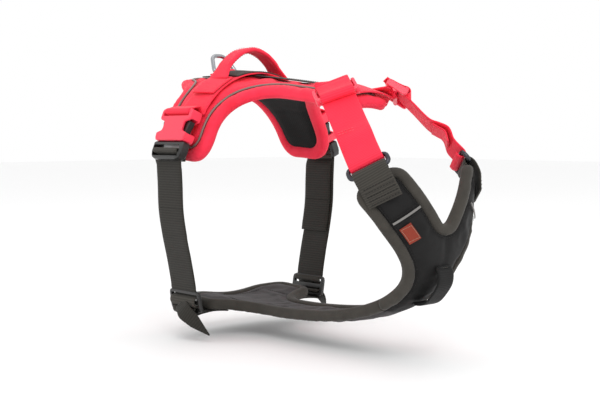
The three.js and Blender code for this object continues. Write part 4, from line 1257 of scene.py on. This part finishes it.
def neck(name, side):
    length = np.linalg.norm(NECK_END - NECK_TOP)
    fold = [[-3.6, 2.9], [0, 2.9], [2.2, 1.8], [2.7, 0], [2.6, -1.3], [0.6, -2.7], [-3, -2.6]]
    turn = [at_ring(-RING_REACH + u, 0, t) for u, t in fold]
    on_yoke = ((16, 147.5, 16.4), (24, 148.5, 16.2), (30.5, 151.5, 13.5))
    yoke = [on(back, -s, -v, h) for s, v, h in on_yoke]
    # The strap leaves the yoke, passes the slider and bows out a little on its way to the ring.
    bulge = 2.0 if side > 0 else 4.5
    bow = ((50, bulge * 0.6), (58, bulge), (length - 4, 0))
    down = [at_neck(u, 0, t) for u, t in ((-13, 0.2), (-6, 0), (4, 0), (20, 0), (42, 0), *bow)]
    path = np.array(yoke + down + turn)
    sides_yoke = list(np.array([[0.1, -1, 0.1], [0.3, -0.93, 0.2], [0.55, -0.78, 0.3]]))
    blend = smoothstep(np.arange(len(down)), 3, len(down) - 1)
    sides_down = [mix(NECK_ACROSS, RING_ACROSS, b) for b in blend]
    sides = np.array(sides_yoke + sides_down + [RING_ACROSS] * len(turn))
    webbing(f"{name}_neck_webbing", mirror_for(side, path), mirror_for(side, sides) * side,
            NECK_WIDTH, coral_web, step=1.0, stands_for=[f"{name}_neck_strap"], **CORAL_NECK)
    # The layer that comes back from the ring on the dog's side, sewn below the slider's reach.
    across = mirror_for(side, NECK_ACROSS) * side
    returned = ((46, bulge * 0.3), (52, bulge * 0.7), (58, bulge), (length - 6, 0))
    hem = mirror_for(side, [at_neck(u, 0, lift - 2.2) for u, lift in returned])
    webbing(f"{name}_neck_return", hem, across, NECK_WIDTH - 1, coral_web, step=1.2, **CORAL_NECK)
    seams = ((48, 2.0 + bulge * 0.4), (51, 2.0 + bulge * 0.65))
    rows = [mirror_for(side, [at_neck(u, w, t) for w in straight(-13, 13, 12)]) for u, t in seams]
    coral_sewing(f"{name}_neck_return_stitches", rows)
    over = [(-13.5, -0.8), (-9, 1.6), (-3, 3.4), (2.5, 5.4), (6.2, 7.2), (8.6, 7.1), (10.2, 5.0),
            (9.2, 2.6), (6, 2.1)]
    points = mirror_for(side, [at_neck(u, 0, t) for u, t in over])
    webbing(f"{name}_slider_cover", points, across, NECK_WIDTH, coral_web, step=0.8, thick=1.4,
            body=f"{name}_neck_slider", stands_for=[f"{name}_slider_fold"], **CORAL_NECK)


def neck_anchor():
    s = straight(-27, 27, 30)
    strip_on("neck_anchor_webbing", back, np.column_stack([s, -147 + 0 * s]), [0, 1], 14.6, NECK_WIDTH,
             coral_web, step=1.0, stands_for=["neck_anchor"], **CORAL_NECK)
    rows = [across_row(-25, 25, v, 16.6) for v in (-159.5, -134.5)]
    coral_sewing("neck_anchor_stitches", rows)


# ------------------------------------------------------------------ moulded hardware
def finish_node(node, material, edge=0.5, segments=3):
    """A CAD node with softened edges and its own finish."""
    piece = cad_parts[node]
    for place in piece.material_slots:
        place.material = material
    weld = piece.modifiers.new("weld", "WELD")
    weld.merge_threshold = 1e-6
    bevel = piece.modifiers.new("edges", "BEVEL")
    bevel.width = edge * MM
    bevel.segments = segments
    bevel.limit_method = "ANGLE"
    bevel.angle_limit = math.radians(35)
    bevel.harden_normals = False
    for polygon in piece.data.polygons:
        polygon.use_smooth = True
    weighted = piece.modifiers.new("normals", "WEIGHTED_NORMAL")
    weighted.keep_sharp = False


def hardware(name):
    finishes = {
        "buckle_body": (coral_plastic, 0.7), "buckle_insert": (dark_plastic, 0.7),
        "buckle_prong_rear": (dark_plastic, 0.4), "buckle_prong_front": (dark_plastic, 0.4),
        "belly_slider": (dark_plastic, 0.6), "neck_slider": (coral_plastic, 0.5),
    }
    for node, (material, edge) in finishes.items():
        finish_node(f"{name}_{node}", material, edge)


# ------------------------------------------------------------------ studio
FLOOR_DROP, FLOOR_HALF = 0.006, 6  # metres
LIGHTS = {  # name: place, power, size
    "key": ((-0.9, -1.3, 1.3), 9, 0.9),
    "fill": ((-1.6, 0.6, 0.5), 1, 1.6),
    "top": ((0.4, 0.2, 1.8), 4, 1.4),
    "front": ((0.9, -1.6, 0.3), 1.5, 1.2),
}


def aim(obj, target):
    direction = Vector(target) - obj.location
    obj.rotation_euler = direction.to_track_quat("-Z", "Y").to_euler()


def studio():
    target = Vector((0.0366, -0.0341, -0.112))
    azimuth, elevation, distance = math.radians(-43), math.radians(3.5), 1.08
    camera = bpy.data.objects.new("camera", bpy.data.cameras.new("camera"))
    flat = math.cos(elevation)
    towards = (math.sin(azimuth) * flat, -math.cos(azimuth) * flat, math.sin(elevation))
    camera.location = target + distance * Vector(towards)
    camera.data.lens = 64.8
    camera.data.sensor_width = 36
    bpy.context.scene.collection.objects.link(camera)
    aim(camera, target)
    bpy.context.scene.camera = camera

    floor_height = cad_box[0][2] - FLOOR_DROP
    mesh = bpy.data.meshes.new("floor")
    around = ((-1, -1), (1, -1), (1, 1), (-1, 1))
    corners = [(x * FLOOR_HALF, y * FLOOR_HALF, floor_height) for x, y in around]
    mesh.from_pydata(corners, [], [(0, 1, 2, 3)])
    floor = bpy.data.objects.new("floor", mesh)
    bpy.context.scene.collection.objects.link(floor)
    paint = Nodes("floor_paint", (0.95, 0.95, 0.95), 0.9)
    paint.set("Specular IOR Level", 0.1)
    mesh.materials.append(paint.material)

    world = bpy.data.worlds.new("studio")
    world.use_nodes = True
    world.node_tree.nodes["Background"].inputs["Color"].default_value = (1, 1, 1, 1)
    world.node_tree.nodes["Background"].inputs["Strength"].default_value = 1.0
    bpy.context.scene.world = world
    bpy.context.scene.view_settings.view_transform = "Standard"
    for name, (place, power, size) in LIGHTS.items():
        light = bpy.data.lights.new(name, "AREA")
        light.energy = power
        light.size = size
        lamp = bpy.data.objects.new(name, light)
        lamp.location = place
        bpy.context.scene.collection.objects.link(lamp)
        aim(lamp, (0, -0.05, -0.1))


studio()
saddle()
saddle_webbing()
handle()
ring()
patch()
belly()
chest()
label()
front_loop()
neck_anchor()
for side_name, side_sign in SIDES.items():
    girth(side_name, side_sign)
    buckle_turn(side_name, side_sign)
    belly_hardware(side_name, side_sign)
    arm_hardware(side_name, side_sign)
    neck(side_name, side_sign)
    hardware(side_name)

bpy.context.view_layer.update()
